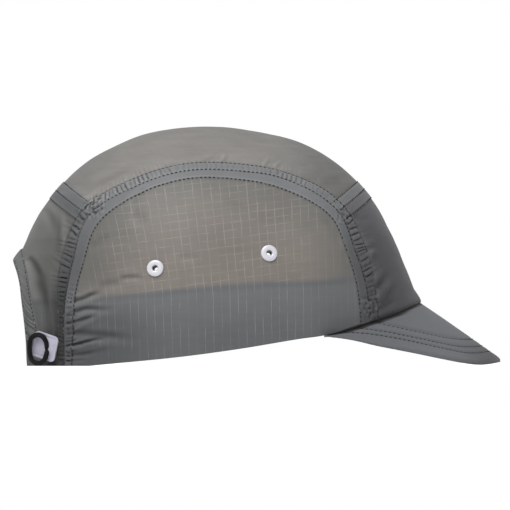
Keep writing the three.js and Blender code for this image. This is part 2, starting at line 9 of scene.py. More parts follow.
import logging
import math
from collections.abc import Callable, Sequence
from dataclasses import dataclass, field
from enum import Enum

import bpy
import numpy as np
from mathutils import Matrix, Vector, noise
from mathutils.kdtree import KDTree

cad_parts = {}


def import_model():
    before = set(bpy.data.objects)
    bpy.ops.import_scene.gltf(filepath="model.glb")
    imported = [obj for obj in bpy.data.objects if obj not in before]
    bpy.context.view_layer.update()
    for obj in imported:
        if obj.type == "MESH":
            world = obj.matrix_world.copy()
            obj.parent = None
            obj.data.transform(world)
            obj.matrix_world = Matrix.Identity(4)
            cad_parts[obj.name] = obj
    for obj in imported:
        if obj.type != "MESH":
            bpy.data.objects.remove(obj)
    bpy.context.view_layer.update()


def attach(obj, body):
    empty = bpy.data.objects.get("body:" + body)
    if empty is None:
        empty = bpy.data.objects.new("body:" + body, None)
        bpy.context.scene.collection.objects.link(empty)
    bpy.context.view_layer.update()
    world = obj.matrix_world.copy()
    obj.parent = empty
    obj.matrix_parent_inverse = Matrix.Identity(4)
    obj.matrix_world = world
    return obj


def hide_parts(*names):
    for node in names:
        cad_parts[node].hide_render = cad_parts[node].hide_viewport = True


LOG = logging.getLogger("running_cap")
MM = 0.001
Array = np.ndarray
Edge = Callable[[Array], Array]
LIGHT_SHARE = 0.62
RANDOM_COUNT = 4096
NORMAL_MARK = "cloth_normal"
EYELET_PLACES = {"rear": (-55.6, 53.4), "front": (6.6, 61.6)}


# Numbers, lines and tables


def smoothstep(value: Array | float, low: float, high: float) -> Array:
    """Rises smoothly from 0 at low to 1 at high.

    Args:
        value: The numbers to look at.
        low: Where the rise starts.
        high: Where it ends.

    Returns:
        One number from 0 to 1 for each value.
    """
    share = np.clip((np.asarray(value, float) - low) / (high - low), 0, 1)
    return share * share * (3 - 2 * share)


def fade(value: Array | float, full: float, none: float) -> Array:
    """Falls smoothly from 1 at full to 0 at none."""
    return 1 - smoothstep(value, full, none)


def unit(vectors: Array) -> Array:
    """Gives each vector of an array the length 1."""
    return vectors / np.maximum(np.linalg.norm(vectors, axis=-1, keepdims=True), 1e-12)


def mirrored(points: Array) -> Array:
    """Moves points to the other side of the cap's middle plane."""
    return points * np.array([1, -1, 1])


def levelled(vectors: Array) -> Array:
    """Unit vectors of the same bearings that lie level."""
    return unit(vectors * np.array([1.0, 1.0, 0.0]))


def blend(first: Array | float, second: Array | float, share: Array | float) -> Array:
    """Goes from the first to the second as the share goes from 0 to 1."""
    return first * (1 - share) + second * share


def mound(value: Array, middle: float, width: float) -> Array:
    """A smooth mound, 1 high at its middle, that falls off over a width on both sides."""
    return np.exp(-(((value - middle) / width) ** 2))


def fuller(value: Array, power: float) -> Array:
    """Bends a sine or cosine so that it follows a fuller curve than a circle."""
    return np.sign(value) * np.abs(value) ** (2 / power)


def spread(cells: int, crowding: float = 0.0) -> Array:
    """Positions from 0 to 1 that crowd towards both ends."""
    even = np.linspace(0, 1, cells + 1)
    return even - crowding * np.sin(2 * np.pi * even) / (2 * np.pi)


def lengths_along(points: Array, axis: int = 0) -> Array:
    """Lengths from the first point on along a line, or along a grid's lines in one direction."""
    steps = np.linalg.norm(np.diff(points, axis=axis), axis=-1)
    return np.insert(steps.cumsum(axis=axis), 0, 0.0, axis=axis)


def random_steps(at: Array, seed: int) -> Array:
    """A fixed random number from 0 to 1 for each whole number that a value falls in."""
    numbers = np.random.default_rng(seed).random(RANDOM_COUNT)
    return numbers[np.floor(at).astype(int) % RANDOM_COUNT]


def wander(at: Array, seed: int) -> Array:
    """A smooth random line through a fixed random number at each whole number, from -1 to 1."""
    share = smoothstep(at - np.floor(at), 0, 1)
    return 2 * blend(random_steps(at, seed), random_steps(at + 1, seed), share) - 1


def cloud(points: Array, size: float, seed: float) -> Array:
    """Smooth random unevenness in space.

    Args:
        points: Places in millimetres, in an array whose last axis is x, y, z.
        size: Size of the lumps in millimetres.
        seed: Which of the patterns to use.

    Returns:
        A number from about -1 to 1 for each place.
    """
    flat = points.reshape(-1, 3) / size + seed * 17.3
    values = np.array([noise.noise(Vector(row)) for row in flat])
    return values.reshape(points.shape[:-1])


class Table:
    """A smooth curve through the rows of a table, which is level in its bend at both ends."""

    def __init__(self, places: Sequence[float], values: Sequence) -> None:
        """Keeps the table's rows.

        Args:
            places: The positions of the rows, rising.
            values: A number or a row of numbers for each position.
        """
        self.places = np.asarray(places, float)
        self.values = np.asarray(values, float).reshape(len(self.places), -1)

    def __call__(self, at: Array | float) -> Array:
        """Looks up the curve at some positions, held at the table's ends.

        Args:
            at: The positions.

        Returns:
            One row of values for each position, or one number where the table has one column.
        """
        places, values = self.places, self.values
        shape = np.shape(at)
        flat = np.clip(np.asarray(at, float).ravel(), places[0], places[-1])
        high = np.clip(np.searchsorted(places, flat, side="right"), 1, len(places) - 1)
        low = high - 1
        before = np.where(low == 0, high, low - 1)
        after = np.where(high == len(places) - 1, low, np.minimum(high + 1, len(places) - 1))
        start, end = places[low], places[high]
        half = (end - start) / 2
        lead = (half / (start - places[before]))[:, None]
        trail = (half / (places[after] - end))[:, None]
        share = ((flat - start) / (end - start))[:, None]
        square, cube = share**2, share**3
        made = (
            (-lead * cube + 2 * lead * square - lead * share) * values[before]
            + ((1 + lead) * cube + (-1.5 - 2 * lead) * square + (lead - 0.5) * share + 1) * values[low]
            + ((-1 - trail) * cube + (1.5 + trail) * square + 0.5 * share) * values[high]
            + (trail * cube - trail * square) * values[after]
        )
        return made[:, 0].reshape(shape) if values.shape[1] == 1 else made


def table(places: Sequence[float], values: Sequence[float]) -> Table:
    """A dataclass field whose default is a table with these rows."""
    return field(default_factory=lambda: Table(places, values))


class Spline:
    """A centripetal spline through points, looked up by knot number."""

    def __init__(self, knots: Array) -> None:
        """Keeps the knots, with one more point led on past each end."""
        knots = np.asarray(knots, float)
        first = 2 * knots[0] - knots[1]
        last = 2 * knots[-1] - knots[-2]
        self.knots = np.vstack([first, knots, last])
        self.count = len(knots)

    def __call__(self, at: Array) -> Array:
        """Gives the points of the spline at knot numbers, which may lie between two knots."""
        at = np.clip(np.asarray(at, float), 0, self.count - 1)
        low = np.minimum(np.floor(at).astype(int), self.count - 2)
        share = (at - low)[:, None]
        p0, p1, p2, p3 = (self.knots[low + step] for step in range(4))
        spans = ((p0, p1), (p1, p2), (p2, p3))
        gap = [np.linalg.norm(b - a, axis=1, keepdims=True) ** 0.5 for a, b in spans]
        leave = ((p1 - p0) / gap[0] - (p2 - p0) / (gap[0] + gap[1]) + (p2 - p1) / gap[1]) * gap[1]
        reach = ((p2 - p1) / gap[1] - (p3 - p1) / (gap[1] + gap[2]) + (p3 - p2) / gap[2]) * gap[1]
        bend = -3 * p1 + 3 * p2 - 2 * leave - reach
        turn = 2 * p1 - 2 * p2 + leave + reach
        return p1 + share * (leave + share * (bend + share * turn))


# The shape of the crown


class Crown:
    """The crown's surface, its rim and its seams, in millimetres."""

    centre = np.array([-22.0, 0.0, 40.0])
    radii = Table(
        [-30, -15, 0, 15, 30, 45, 60, 75, 90, 105],
        [
            (134, 100, 90, 102, 121),
            (119.5, 94, 84.5, 98, 113),
            (109.2, 91, 82, 97, 110.7),
            (101.7, 89.5, 82, 96.5, 109.5),
            (99.8, 89.5, 83.6, 95.6, 106),
            (97.6, 90.2, 85.8, 94.2, 102.3),
            (95, 91, 88.2, 92.6, 97.6),
            (91.7, 91.2, 90.7, 91.9, 93.6),
            (91.6, 91.6, 91.6, 91.6, 91.6),
            (93.6, 91.9, 90.7, 91.2, 91.7),
        ],
    )
    rim = Table(
        [-93, -75, -42, -9.4, 23.7, 38, 57.3, 75.6, 90.3],
        [0, 1.7, 5, 9.4, 14.9, 17, 22.9, 29.3, 36.5],
    )
    seam_knots = [
        (-105.1, 0),
        (-105.2, 28),
        (-100.6, 56),
        (-91.6, 82.2),
        (-68, 97.2),
        (-40, 106.2),
        (-10, 106.3),
        (15.5, 101.7),
        (44.3, 84.4),
        (53.1, 64),
        (59.3, 44),
        (61.6, 23.6),
    ]
    rear_junction = 3
    front_junction = 8
    cross_height = 97.0
    reach = 160.0
    halvings = 26
    slope_step = 0.05

    def __init__(self) -> None:
        """Works out the seam between the side panels and the rest of the crown."""
        knots = []
        for number, (x, z) in enumerate(self.seam_knots):
            foot = number in (0, len(self.seam_knots) - 1)
            knots.append(self.side(np.array([x]), np.array([self.rim(x) if foot else z]))[0])
        self.spline = Spline(np.array(knots))
        self.last_knot = len(knots) - 1

    def radius(self, direction: Array) -> Array:
        """Distance of the cloth from the centre in each unit direction."""
        elevation = np.degrees(np.arcsin(np.clip(direction[:, 2], -1, 1)))
        angle = np.arctan2(np.abs(direction[:, 1]), direction[:, 0])
        waves = np.arange(5)
        ends = np.array([1, 2, 2, 2, 1])
        halves = np.array([0.5, 1, 1, 1, 0.5])
        share = ends[:, None] * halves * np.cos(np.outer(waves, waves) * np.pi / 4) / 4
        return ((self.radii(elevation) @ share) * np.cos(np.outer(angle, waves))).sum(axis=1)

    def outside(self, points: Array) -> Array:
        """How far each point lies outside the cloth, measured from the centre."""
        ray = points - self.centre
        length = np.linalg.norm(ray, axis=1)
        return length - self.radius(ray / np.maximum(length, 1e-9)[:, None])

    def on_line(self, start: Array, direction: Array) -> Array:
        """Points where lines from inside reach the cloth.

        Args:
            start: Inner points, one for each line.
            direction: Unit directions of the lines.

        Returns:
            The points on the cloth.
        """
        near = np.zeros(len(start))
        far = np.full(len(start), self.reach)
        for _ in range(self.halvings):
            middle = (near + far) / 2
            inner = self.outside(start + middle[:, None] * direction) < 0
            near = np.where(inner, middle, near)
            far = np.where(inner, far, middle)
        return start + ((near + far) / 2)[:, None] * direction

    def settle(self, points: Array) -> Array:
        """Puts points on the cloth: level below the centre's height, away from the centre above."""
        shape = points.shape
        flat = points.reshape(-1, 3)
        start = np.zeros_like(flat)
        start[:, 0] = self.centre[0]
        start[:, 2] = np.minimum(flat[:, 2], self.centre[2])
        return self.on_line(start, unit(flat - start)).reshape(shape)

    def normal(self, points: Array) -> Array:
        """Unit normals of the cloth, out of the crown."""
        flat = points.reshape(-1, 3)
        steps = np.eye(3) * self.slope_step
        slope = [self.outside(flat + step) - self.outside(flat - step) for step in steps]
        return unit(np.stack(slope, axis=1)).reshape(points.shape)

    def side(self, x: Array, z: Array) -> Array:
        """Points of the right side at places seen from the side."""
        start = np.stack([x, np.zeros_like(x), z], axis=1)
        return self.on_line(start, np.tile([0.0, -1.0, 0.0], (len(x), 1)))

    def back(self, y: Array, z: Array) -> Array:
        """Points behind the centre at places seen from the back."""
        start = np.stack([np.full_like(y, self.centre[0]), y, z], axis=1)
        return self.on_line(start, np.tile([-1.0, 0.0, 0.0], (len(y), 1)))

    def middle(self, height: float, ahead: float) -> Array:
        """Point of the middle line at a height, ahead of the centre or behind it."""
        start = np.array([[self.centre[0], 0.0, height]])
        return self.on_line(start, np.array([[ahead, 0.0, 0.0]]))[0]

    def rim_points(self, bearings: Array, above: Array | float = 0.0) -> Array:
        """Rim points at bearings from the front, raised by a height above the rim."""
        direction = np.stack([np.cos(bearings), np.sin(bearings), np.zeros_like(bearings)], axis=1)
        height = np.zeros_like(bearings)
        for _ in range(6):
            start = np.tile([self.centre[0], 0.0, 0.0], (len(bearings), 1))
            start[:, 2] = height
            points = self.on_line(start, direction)
            height = self.rim(points[:, 0]) + above
        points[:, 2] = height
        return points

    def bearing(self, point: Array) -> float:
        """Bearing of a point from the front, in radians."""
        return math.atan2(point[1], point[0] - self.centre[0])

    def seam(self, knots: Array) -> Array:
        """Points of the right side seam at knot numbers."""
        return self.settle(self.spline(knots))

    def seam_edge(self, start: float, end: float) -> Edge:
        """Edge of a panel along the right side seam, from one knot to another."""
        return lambda share: self.seam(start + (end - start) * share)

    def cross_edge(self, junction: int) -> Edge:
        """Edge across the cap from the right side seam over the middle line to the left."""
        ahead = 1.0 if junction == self.front_junction else -1.0
        right = self.seam(np.array([float(junction)]))[0]
        line = Spline(np.array([right, self.middle(self.cross_height, ahead), mirrored(right)]))
        return lambda share: self.settle(line(2 * share))

    def patch(
        self, bottom: Edge, top: Edge, left: Edge, right: Edge, across: Array, along: Array
    ) -> Array:
        """Grid of cloth points between four edges.

        Args:
            bottom: Edge at the start of the second direction.
            top: Edge at its end.
            left: Edge at the start of the first direction.
            right: Edge at its end.
            across: Shares of the grid in the first direction.
            along: Shares of the grid in the second direction.

        Returns:
            An array of points, first direction first.
        """
        u = across[:, None, None]
        v = along[None, :, None]
        low, high = bottom(across)[:, None], top(across)[:, None]
        near, far = left(along)[None], right(along)[None]
        ends = np.array([0.0, 1.0])
        (a, b), (c, d) = bottom(ends), top(ends)
        grid = low * (1 - v) + high * v + near * (1 - u) + far * u
        grid -= a * (1 - u) * (1 - v) + b * u * (1 - v) + c * (1 - u) * v + d * u * v
        return self.settle(grid)


class SeamLine:
    """A seam as a fine line of points, for distances from it and lengths along it."""

    def __init__(self, points: Array, both_sides: bool) -> None:
        """Keeps the line.

        Args:
            points: The seam's points, about a fifth of a millimetre apart.
            both_sides: True if the other side of the cap has the same seam.
        """
        self.both_sides = both_sides
        self.lengths = lengths_along(points)
        self.tree = KDTree(len(points))
        for number, point in enumerate(points.tolist()):
            self.tree.insert(point, number)
        self.tree.balance()

    def measure(self, points: Array) -> tuple[Array, Array]:
        """Distance from the seam, and the length along it to the nearest place.

        Args:
            points: Places in an array whose last axis is x, y, z.

        Returns:
            The distances and the lengths, each of the array's other axes.
        """
        flat = points.reshape(-1, 3).copy()
        if self.both_sides:
            flat[:, 1] = -np.abs(flat[:, 1])
        found = [self.tree.find(row) for row in flat.tolist()]
        distance = np.array([gap for _, _, gap in found])
        along = self.lengths[np.array([number for _, number, _ in found])]
        shape = points.shape[:-1]
        return distance.reshape(shape), along.reshape(shape)


class Region(Enum):
    """The part of the crown that a piece of cloth belongs to."""

    SIDE = "side"
    TOP = "top"
    FRONT = "front"
    BACK = "back"


@dataclass(frozen=True)
class Near:
    """Where points lie: their distances from the seams and their places along them."""

    points: Array
    side: Array
    along: Array
    cross: Array

    @property
    def x(self) -> Array:
        """How far forward the points lie."""
        return self.points[..., 0]

    @property
    def z(self) -> Array:
        """How high the points lie."""
        return self.points[..., 2]


@dataclass(frozen=True)
class Fold:
    """A soft hollow along a line of the side view, with a low ridge on its right-hand side."""

    line: tuple[tuple[float, float], ...]
    width: float
    depth: float
    ridge: float = 0.5
    start: float = 0.02
    fading: float = 0.45

    def height(self, points: Array) -> Array:
        """Height that the fold gives each point, below zero in a hollow of positive depth."""
        knots = np.array(self.line)
        knots = np.column_stack([knots[:, 0], np.zeros(len(knots)), knots[:, 1]])
        line = Spline(knots)(np.linspace(0, len(knots) - 1, 48))[:, [0, 2]]
        course = unit(np.gradient(line, axis=0))
        reach = 4 * self.width + 2
        height = np.zeros(points.shape[:-1])
        x, z = points[..., 0], points[..., 2]
        close = (x > line[:, 0].min() - reach) & (x < line[:, 0].max() + reach)
        close &= (z > line[:, 1].min() - reach) & (z < line[:, 1].max() + reach)
        flat = points[close][:, [0, 2]]
        if not len(flat):
            return height
        gaps = np.linalg.norm(flat[:, None] - line[None], axis=2)
        nearest = gaps.argmin(axis=1)
        along = nearest / (len(line) - 1)
        away, course = flat - line[nearest], course[nearest]
        below = np.sign(course[:, 1] * away[:, 0] - course[:, 0] * away[:, 1]) * gaps.min(axis=1)
        hollow = mound(below, 0, self.width)
        ridge = mound(below, 1.7 * self.width, 1.1 * self.width)
        strength = smoothstep(along, -0.05, self.start) * fade(along, 1 - self.fading, 1.0)
        height[close] = self.depth * strength * (self.ridge * ridge - hollow)
        return height


class Seams:
    """The crown's seams, with the relief that their tapes and stitches give the cloth."""

    row_offset = 5.8
    gather_pitch = 2.7
    crease_width = 0.4
    tape_rise = 0.45
    groove = 0.2
    row_groove = 0.16
    rear_drop = 0.6
    lumps = ((0.3, 26, 1.0), (0.1, 9, 2.0))
    bunches = ((-90.5, 88.0, 9.0, 1.9), (47.5, 82.0, 6.0, 0.9), (63.5, 33.0, 10.0, 0.9))
    outer_widths = Table(
        [0, 0.6, 1, 1.3, 1.6, 2, 2.6, 3, 4, 5, 6, 7, 7.6, 8, 8.6, 9, 9.6, 10, 11],
        [4.7, 4.7, 4.9, 5.8, 7.4, 8.4, 7.5, 6.8, 6.4, 6.1, 5.8, 5.4, 6.5, 6.6, 7.8, 9, 7.6, 6.2, 5.8],
    )
    inner_widths = Table(
        [0, 1, 1.6, 2, 2.5, 3, 3.35, 4, 5, 6, 7, 7.6, 8, 9, 10, 11],
        [5, 6.1, 5.9, 6.7, 7.4, 8.4, 7.9, 5.8, 5.6, 5.8, 7, 6.8, 6.2, 5.4, 5.8, 5.8],
    )

    valley = (
        (-125, 60.5),
        (-121.8, 55.9),
        (-120.2, 50.7),
        (-119.8, 45.9),
        (-118.8, 40),
        (-116.4, 33),
        (-115, 26),
        (-114.4, 16),
    )
    folds = {
        Region.SIDE: (
            Fold(((-101, 35.4), (-94.8, 37.5), (-90.5, 39.4), (-84, 41)), 1.5, 0.75, 0.5, 0.1),
            Fold(
                ((-103, 29), (-99.7, 29.9), (-94.8, 31.6), (-85.6, 31.6), (-74, 31.8)),
                1.7,
                0.8,
                0.4,
                0.05,
            ),
            Fold(
                ((-107, 23.9), (-102.4, 24), (-98.5, 24.9), (-94.2, 26.2), (-89.3, 28.1), (-83, 29.6)),
                1.4, 0.85, 0.6,
            ),
            Fold(((-107, 21), (-101.8, 21), (-98.8, 22.2), (-94, 24)), 0.9, 0.6, 0.6),
            Fold(
                ((-104, 18.8), (-95.4, 18.6), (-89.3, 17.7), (-80.7, 17), (-72, 15.9), (-60, 15.8)),
                2.7, 1.1, 0.4,
            ),
            Fold(
                ((-108, 11), (-101.8, 11.6), (-96.6, 12.5), (-92.3, 13.7), (-88, 14.6), (-82, 14.8)),
                1.0, 1.15, 0.9,
            ),
            Fold(((-107, 14), (-101, 14), (-96.8, 15.2)), 0.8, 0.65, 0.6),
            Fold(((-106, 27.6), (-100.5, 27.4), (-96, 28)), 0.7, 0.5, 0.6),
            Fold(((-103, 6.2), (-94, 7.2), (-86, 8.8)), 1.2, 0.4, 0.6),
            Fold(((-97, 9.8), (-88, 11.2), (-78, 13.4)), 1.8, -0.5, 0.3),
            Fold(((-105, 3), (-99, 3.4), (-92, 4)), 0.8, 0.35, 0.6),
            Fold(((-76, 48.2), (-70, 48.9), (-65, 49), (-60, 48)), 1.3, 0.34, 0.3, 0.2, 0.5),
            Fold(((-69, 85), (-64, 82), (-58, 78)), 4.0, 0.4, 0.4, 0.3),
            Fold(((-92, 64), (-86, 69), (-78, 72)), 3.0, 0.35, 0.3, 0.3),
            Fold(((-88, 44), (-80, 46), (-70, 46)), 2.6, 0.3, 0.4, 0.3),
            Fold(((-60, 99), (-66, 92), (-69, 86)), 2.4, 0.3, 0.4, 0.3),
            Fold(((34, 86), (42, 76), (48, 62)), 3.5, 0.5, 0.4, 0.3),
            Fold(((46, 68), (50, 56), (52, 44)), 3.0, 0.35, 0.3, 0.3),
            Fold(((-44, 60), (-37, 60.5), (-30, 59)), 2.4, 0.16, 0.3, 0.3),
        ),
        Region.FRONT: (
            Fold(((57, 65.4), (61, 67.6), (66, 69.8)), 1.8, -0.5, 0.4, 0.2),
            Fold(((59, 58), (61.9, 61.8), (65.4, 64.8)), 2.0, -1.0, 0.5, 0.1, 0.5),
            Fold(((62, 44.8), (65.4, 49.2), (68.4, 54.4)), 2.2, -1.3, 0.55, 0.1, 0.5),
            Fold(((64.8, 35.8), (69.6, 42.4), (73.4, 48.6)), 2.2, -1.3, 0.55, 0.1, 0.5),
            Fold(((66, 31), (72, 34), (76, 38)), 1.8, 0.7, 0.4, 0.1),
            Fold(((70, 76), (75, 66), (78, 52)), 4.5, -0.5, 0.3, 0.3),
            Fold(((52, 82), (58, 81), (64, 83)), 1.8, 0.3, 0.6, 0.1),
        ),
        Region.BACK: (
            Fold(valley[:4], 2.4, 0.8, 0.2, 0.1, 0.5),
            Fold(valley[2:], 3.2, 0.6, 0.2, 0.4, 0.5),
            Fold(
                ((-127, 58), (-124.4, 53), (-123.6, 48), (-123.2, 43.5), (-121.8, 36), (-120, 26)),
                2.0, -0.7, 0.3, 0.1, 0.5,
            ),
            Fold(((-112, 40), (-110.6, 30), (-110, 18), (-110, 8)), 2.6, 0.4, 0.2, 0.2, 0.3),
            Fold(((-107, 86), (-105.4, 76), (-105, 66), (-107, 56)), 2.2, -0.4, 0.5, 0.2, 0.4),
            Fold(((-117, 88), (-113, 82), (-111, 72)), 2.2, 0.3, 0.5, 0.2, 0.4),
        ),
        Region.TOP: (
            Fold(((-108, 100), (-98, 100), (-84, 103), (-66, 110)), 3.4, 0.5, 0.6, 0.2),
            Fold(((-97, 90.6), (-91, 93.4), (-84, 99)), 1.8, -0.5, 0.6, 0.2, 0.5),
            Fold(((-92, 96), (-80, 104), (-60, 112)), 2.6, 0.35, 0.5, 0.3),
            Fold(((-58, 104.6), (-50, 109), (-40, 113)), 1.8, 0.35, 0.6, 0.2),
            Fold(((-34, 111), (-26, 113.6), (-20, 118)), 1.4, 0.22, 0.6, 0.1, 0.6),
            Fold(((-22, 111), (-19, 114), (-17.6, 118)), 1.2, -0.22, 0.6, 0.1, 0.6),
            Fold(((3, 110), (5, 112.6), (7, 115)), 1.1, -0.2, 0.6, 0.1, 0.6),
            Fold(((9, 109), (11.6, 111.6), (15, 113.4)), 1.0, -0.2, 0.6, 0.1, 0.6),
            Fold(((20, 106), (28, 107), (36, 110)), 3.0, -0.4, 0.5, 0.3),
            Fold(((34, 100), (42, 101), (50, 104)), 3.2, 0.45, 0.5, 0.3),
        ),
    }

    def __init__(self, crown: Crown) -> None:
        """Samples the side seam and the two cross seams.

        Args:
            crown: The surface that the seams lie on.
        """
        self.crown = crown
        self.knots = np.linspace(0, crown.last_knot, 1500)
        self.side = SeamLine(crown.seam(self.knots), True)
        share = np.linspace(0, 1, 500)
        junctions = (crown.rear_junction, crown.front_junction)
        self.cross = [SeamLine(crown.cross_edge(junction)(share), False) for junction in junctions]

    def near(self, points: Array, region: Region) -> Near:
        """Measures where points lie; a side panel has no cross seam.

        Args:
            points: Points of the plain surface.
            region: The part of the crown that they belong to.

        Returns:
            The points with their places beside the seams.
        """
        side, along = self.side.measure(points)
        knots = np.interp(along, self.side.lengths, self.knots)
        side = side * self.row_offset / self.width(knots, region)
        cross = np.full(side.shape, 99.0)
        if region is not Region.SIDE:
            cross = np.minimum(*(line.measure(points)[0] for line in self.cross))
        return Near(points, side, along, cross)

    def width(self, knots: Array, region: Region) -> Array:
        """Distance of the outer row of stitches from the side seam at knot numbers."""
        return (self.inner_widths if region is Region.SIDE else self.outer_widths)(knots)

    def gathered(self, near: Near) -> Array:
        """How strongly the side seam is gathered, from 0 to 1: most on its legs."""
        rear = fade(near.z, 80, 92) * fade(near.x, -88, -80) * (0.4 + 0.6 * smoothstep(near.z, 36, 46))
        shoulder = 0.5 * fade(near.x, -62, -34)
        front = smoothstep(near.x, 44, 50) * (0.25 + 0.75 * smoothstep(near.z, 36, 48))
        ahead = 0.3 * smoothstep(near.x, 4, 10) * fade(near.x, 22, 34)
        return np.maximum.reduce([rear, shoulder, 0.95 * front, ahead, np.full(near.x.shape, 0.1)])

    def gathers(self, near: Near, region: Region) -> Array:
        """Height of the gathers that the stitches draw into the cloth beside the side seam.

        Args:
            near: The cloth's points.
            region: The part of the crown that they belong to.

        Returns:
            A height in millimetres for each point.
        """
        pitch = self.gather_pitch
        front = smoothstep(near.x, 44, 50)
        lean = 0.47 * smoothstep(near.z, 46, 64) * fade(near.x, -84, -70) - 0.2 * front
        lean = -lean if region is Region.SIDE else lean
        phase = near.along / pitch + 0.4 * wander(near.along / 9, 3)
        phase = phase + near.side / pitch * (0.22 * wander(near.along / 5, 4) - lean)
        share = phase - np.floor(phase)
        gap = np.minimum(share, 1 - share) * pitch
        depth = np.clip(2.2 * random_steps(phase + 0.5, 5) - 0.3, 0, 1)
        crease = mound(gap, 0, self.crease_width) * depth * (1 - 0.45 * front)
        above = np.where(near.x < 0, share, 1 - share)
        puff = np.sin(np.pi * above**0.66) ** 0.7 * (0.3 + 0.7 * random_steps(phase, 6))
        beyond = smoothstep(near.side, 5.9, 6.8) * fade(near.side, 7.0, 15)
        if region is Region.SIDE:
            low = fade(near.z, 30, 52) * fade(near.x, -70, -50)
            strip = smoothstep(near.side, 0.6, 2.0) * fade(near.side, 4.4, 6.2)
            return low * (0.5 * strip * (puff - 1.2 * crease) + 0.14 * beyond * (puff - 1.2 * crease))
        strip = smoothstep(near.side, 0.5, 1.5) * fade(near.side, 5.0, 6.0)
        drawn = strip * (0.8 * puff - 0.95 * crease)
        return self.gathered(near) * (drawn + (0.25 - 0.05 * front) * beyond * (puff - 0.8 * crease))

    def bunched(self, near: Near) -> Array:
        """Height of the crumpled cloth where a cross seam meets the side seam."""
        height = np.zeros(near.x.shape)
        beside = fade(near.side, 6.0, 8.0)
        for x, z, size, rise in self.bunches:
            gap = np.hypot(near.x - x, near.z - z)
            height += rise * fade(gap, size * 0.4, size) * beside * cloud(near.points, 2.2, x)
        return height

    def relief(self, near: Near, region: Region) -> Array:
        """Height of the cloth over the plain crown surface.

        Args:
            near: Points of the plain surface.
            region: The part of the crown that they belong to.

        Returns:
            A height in millimetres for each point.
        """
        closest = np.minimum(near.side, near.cross)
        height = self.tape_rise * fade(closest, 5.2, 6.6)
        height += self.gathers(near, region) + self.bunched(near)
        for distance in (near.side, near.cross):
            height -= self.groove * fade(distance, 0.1, 0.7)
            height -= self.row_groove * fade(np.abs(distance - self.row_offset), 0.1, 0.8)
        inside = smoothstep(near.side, *((0.6, 2.4) if region is Region.SIDE else (4.4, 6.6)))
        for fold in self.folds[region]:
            height += fold.height(near.points) * inside
        if region in (Region.TOP, Region.BACK):
            behind = fade(near.x, -84, -60) * smoothstep(near.z, 62, 70)
            height -= self.rear_drop * smoothstep(near.side, 6, 18) * behind
        height += sum(rise * cloud(near.points, size, seed) for rise, size, seed in self.lumps)
        return height

    def taped(self, near: Near) -> Array:
        """Which cloth lies over a seam tape: 1 over it, 0 elsewhere."""
        return fade(np.minimum(near.side, near.cross), 5.6, 6.4)


# Finishes


def linear(red: float, green: float, blue: float) -> tuple[float, float, float, float]:
    """Turns a tone as a picture shows it, 0 to 255, into the linear colour that a shader takes.

    Args:
        red: The tone's red.
        green: The tone's green.
        blue: The tone's blue.

    Returns:
        Linear red, green and blue, with the studio's light divided out, and alpha 1.
    """
    parts = [value / 255 for value in (red, green, blue)]
    parts = [v / 12.92 if v <= 0.04045 else ((v + 0.055) / 1.055) ** 2.4 for v in parts]
    return tuple(min(v * LIGHT_SHARE, 1.0) for v in parts) + (1.0,)


class Signal:
    """A shader socket that takes part in arithmetic: each operator adds its Math node."""

    def __init__(self, tree: Shader, socket: bpy.types.NodeSocket) -> None:
        """Wraps a socket of a shader's tree."""
        self.tree = tree
        self.socket = socket

    def math(self, operation: str, *others: Signal | float) -> Signal:
        """Adds a Math node with this signal as its first value."""
        inputs = dict(enumerate((self, *others)))
        return self.tree.signal("ShaderNodeMath", {"operation": operation}, inputs)

    def __add__(self, other: Signal | float) -> Signal:
        """Sum."""
        return self.math("ADD", other)

    def __radd__(self, other: float) -> Signal:
        """Sum with a number on the left."""
        return self.math("ADD", other)

    def __sub__(self, other: Signal | float) -> Signal:
        """Difference."""
        return self.math("SUBTRACT", other)

    def __rsub__(self, other: float) -> Signal:
        """Difference from a number, as in 1 - mask."""
        return (self * -1.0).math("ADD", other)

    def __mul__(self, other: Signal | float) -> Signal:
        """Product."""
        return self.math("MULTIPLY", other)

    def __rmul__(self, other: float) -> Signal:
        """Product with a number on the left."""
        return self.math("MULTIPLY", other)

    def step(self, low: float, high: float) -> Signal:
        """Rises smoothly from 0 at low to 1 at high."""
        settings = {"interpolation_type": "SMOOTHSTEP"}
        inputs = {"Value": self, "From Min": low, "From Max": high}
        return self.tree.signal("ShaderNodeMapRange", settings, inputs)

    def from_line(self, pitch: float) -> Signal:
        """Distance from the nearest of the lines that repeat at a pitch."""
        return self.math("PINGPONG", pitch / 2)


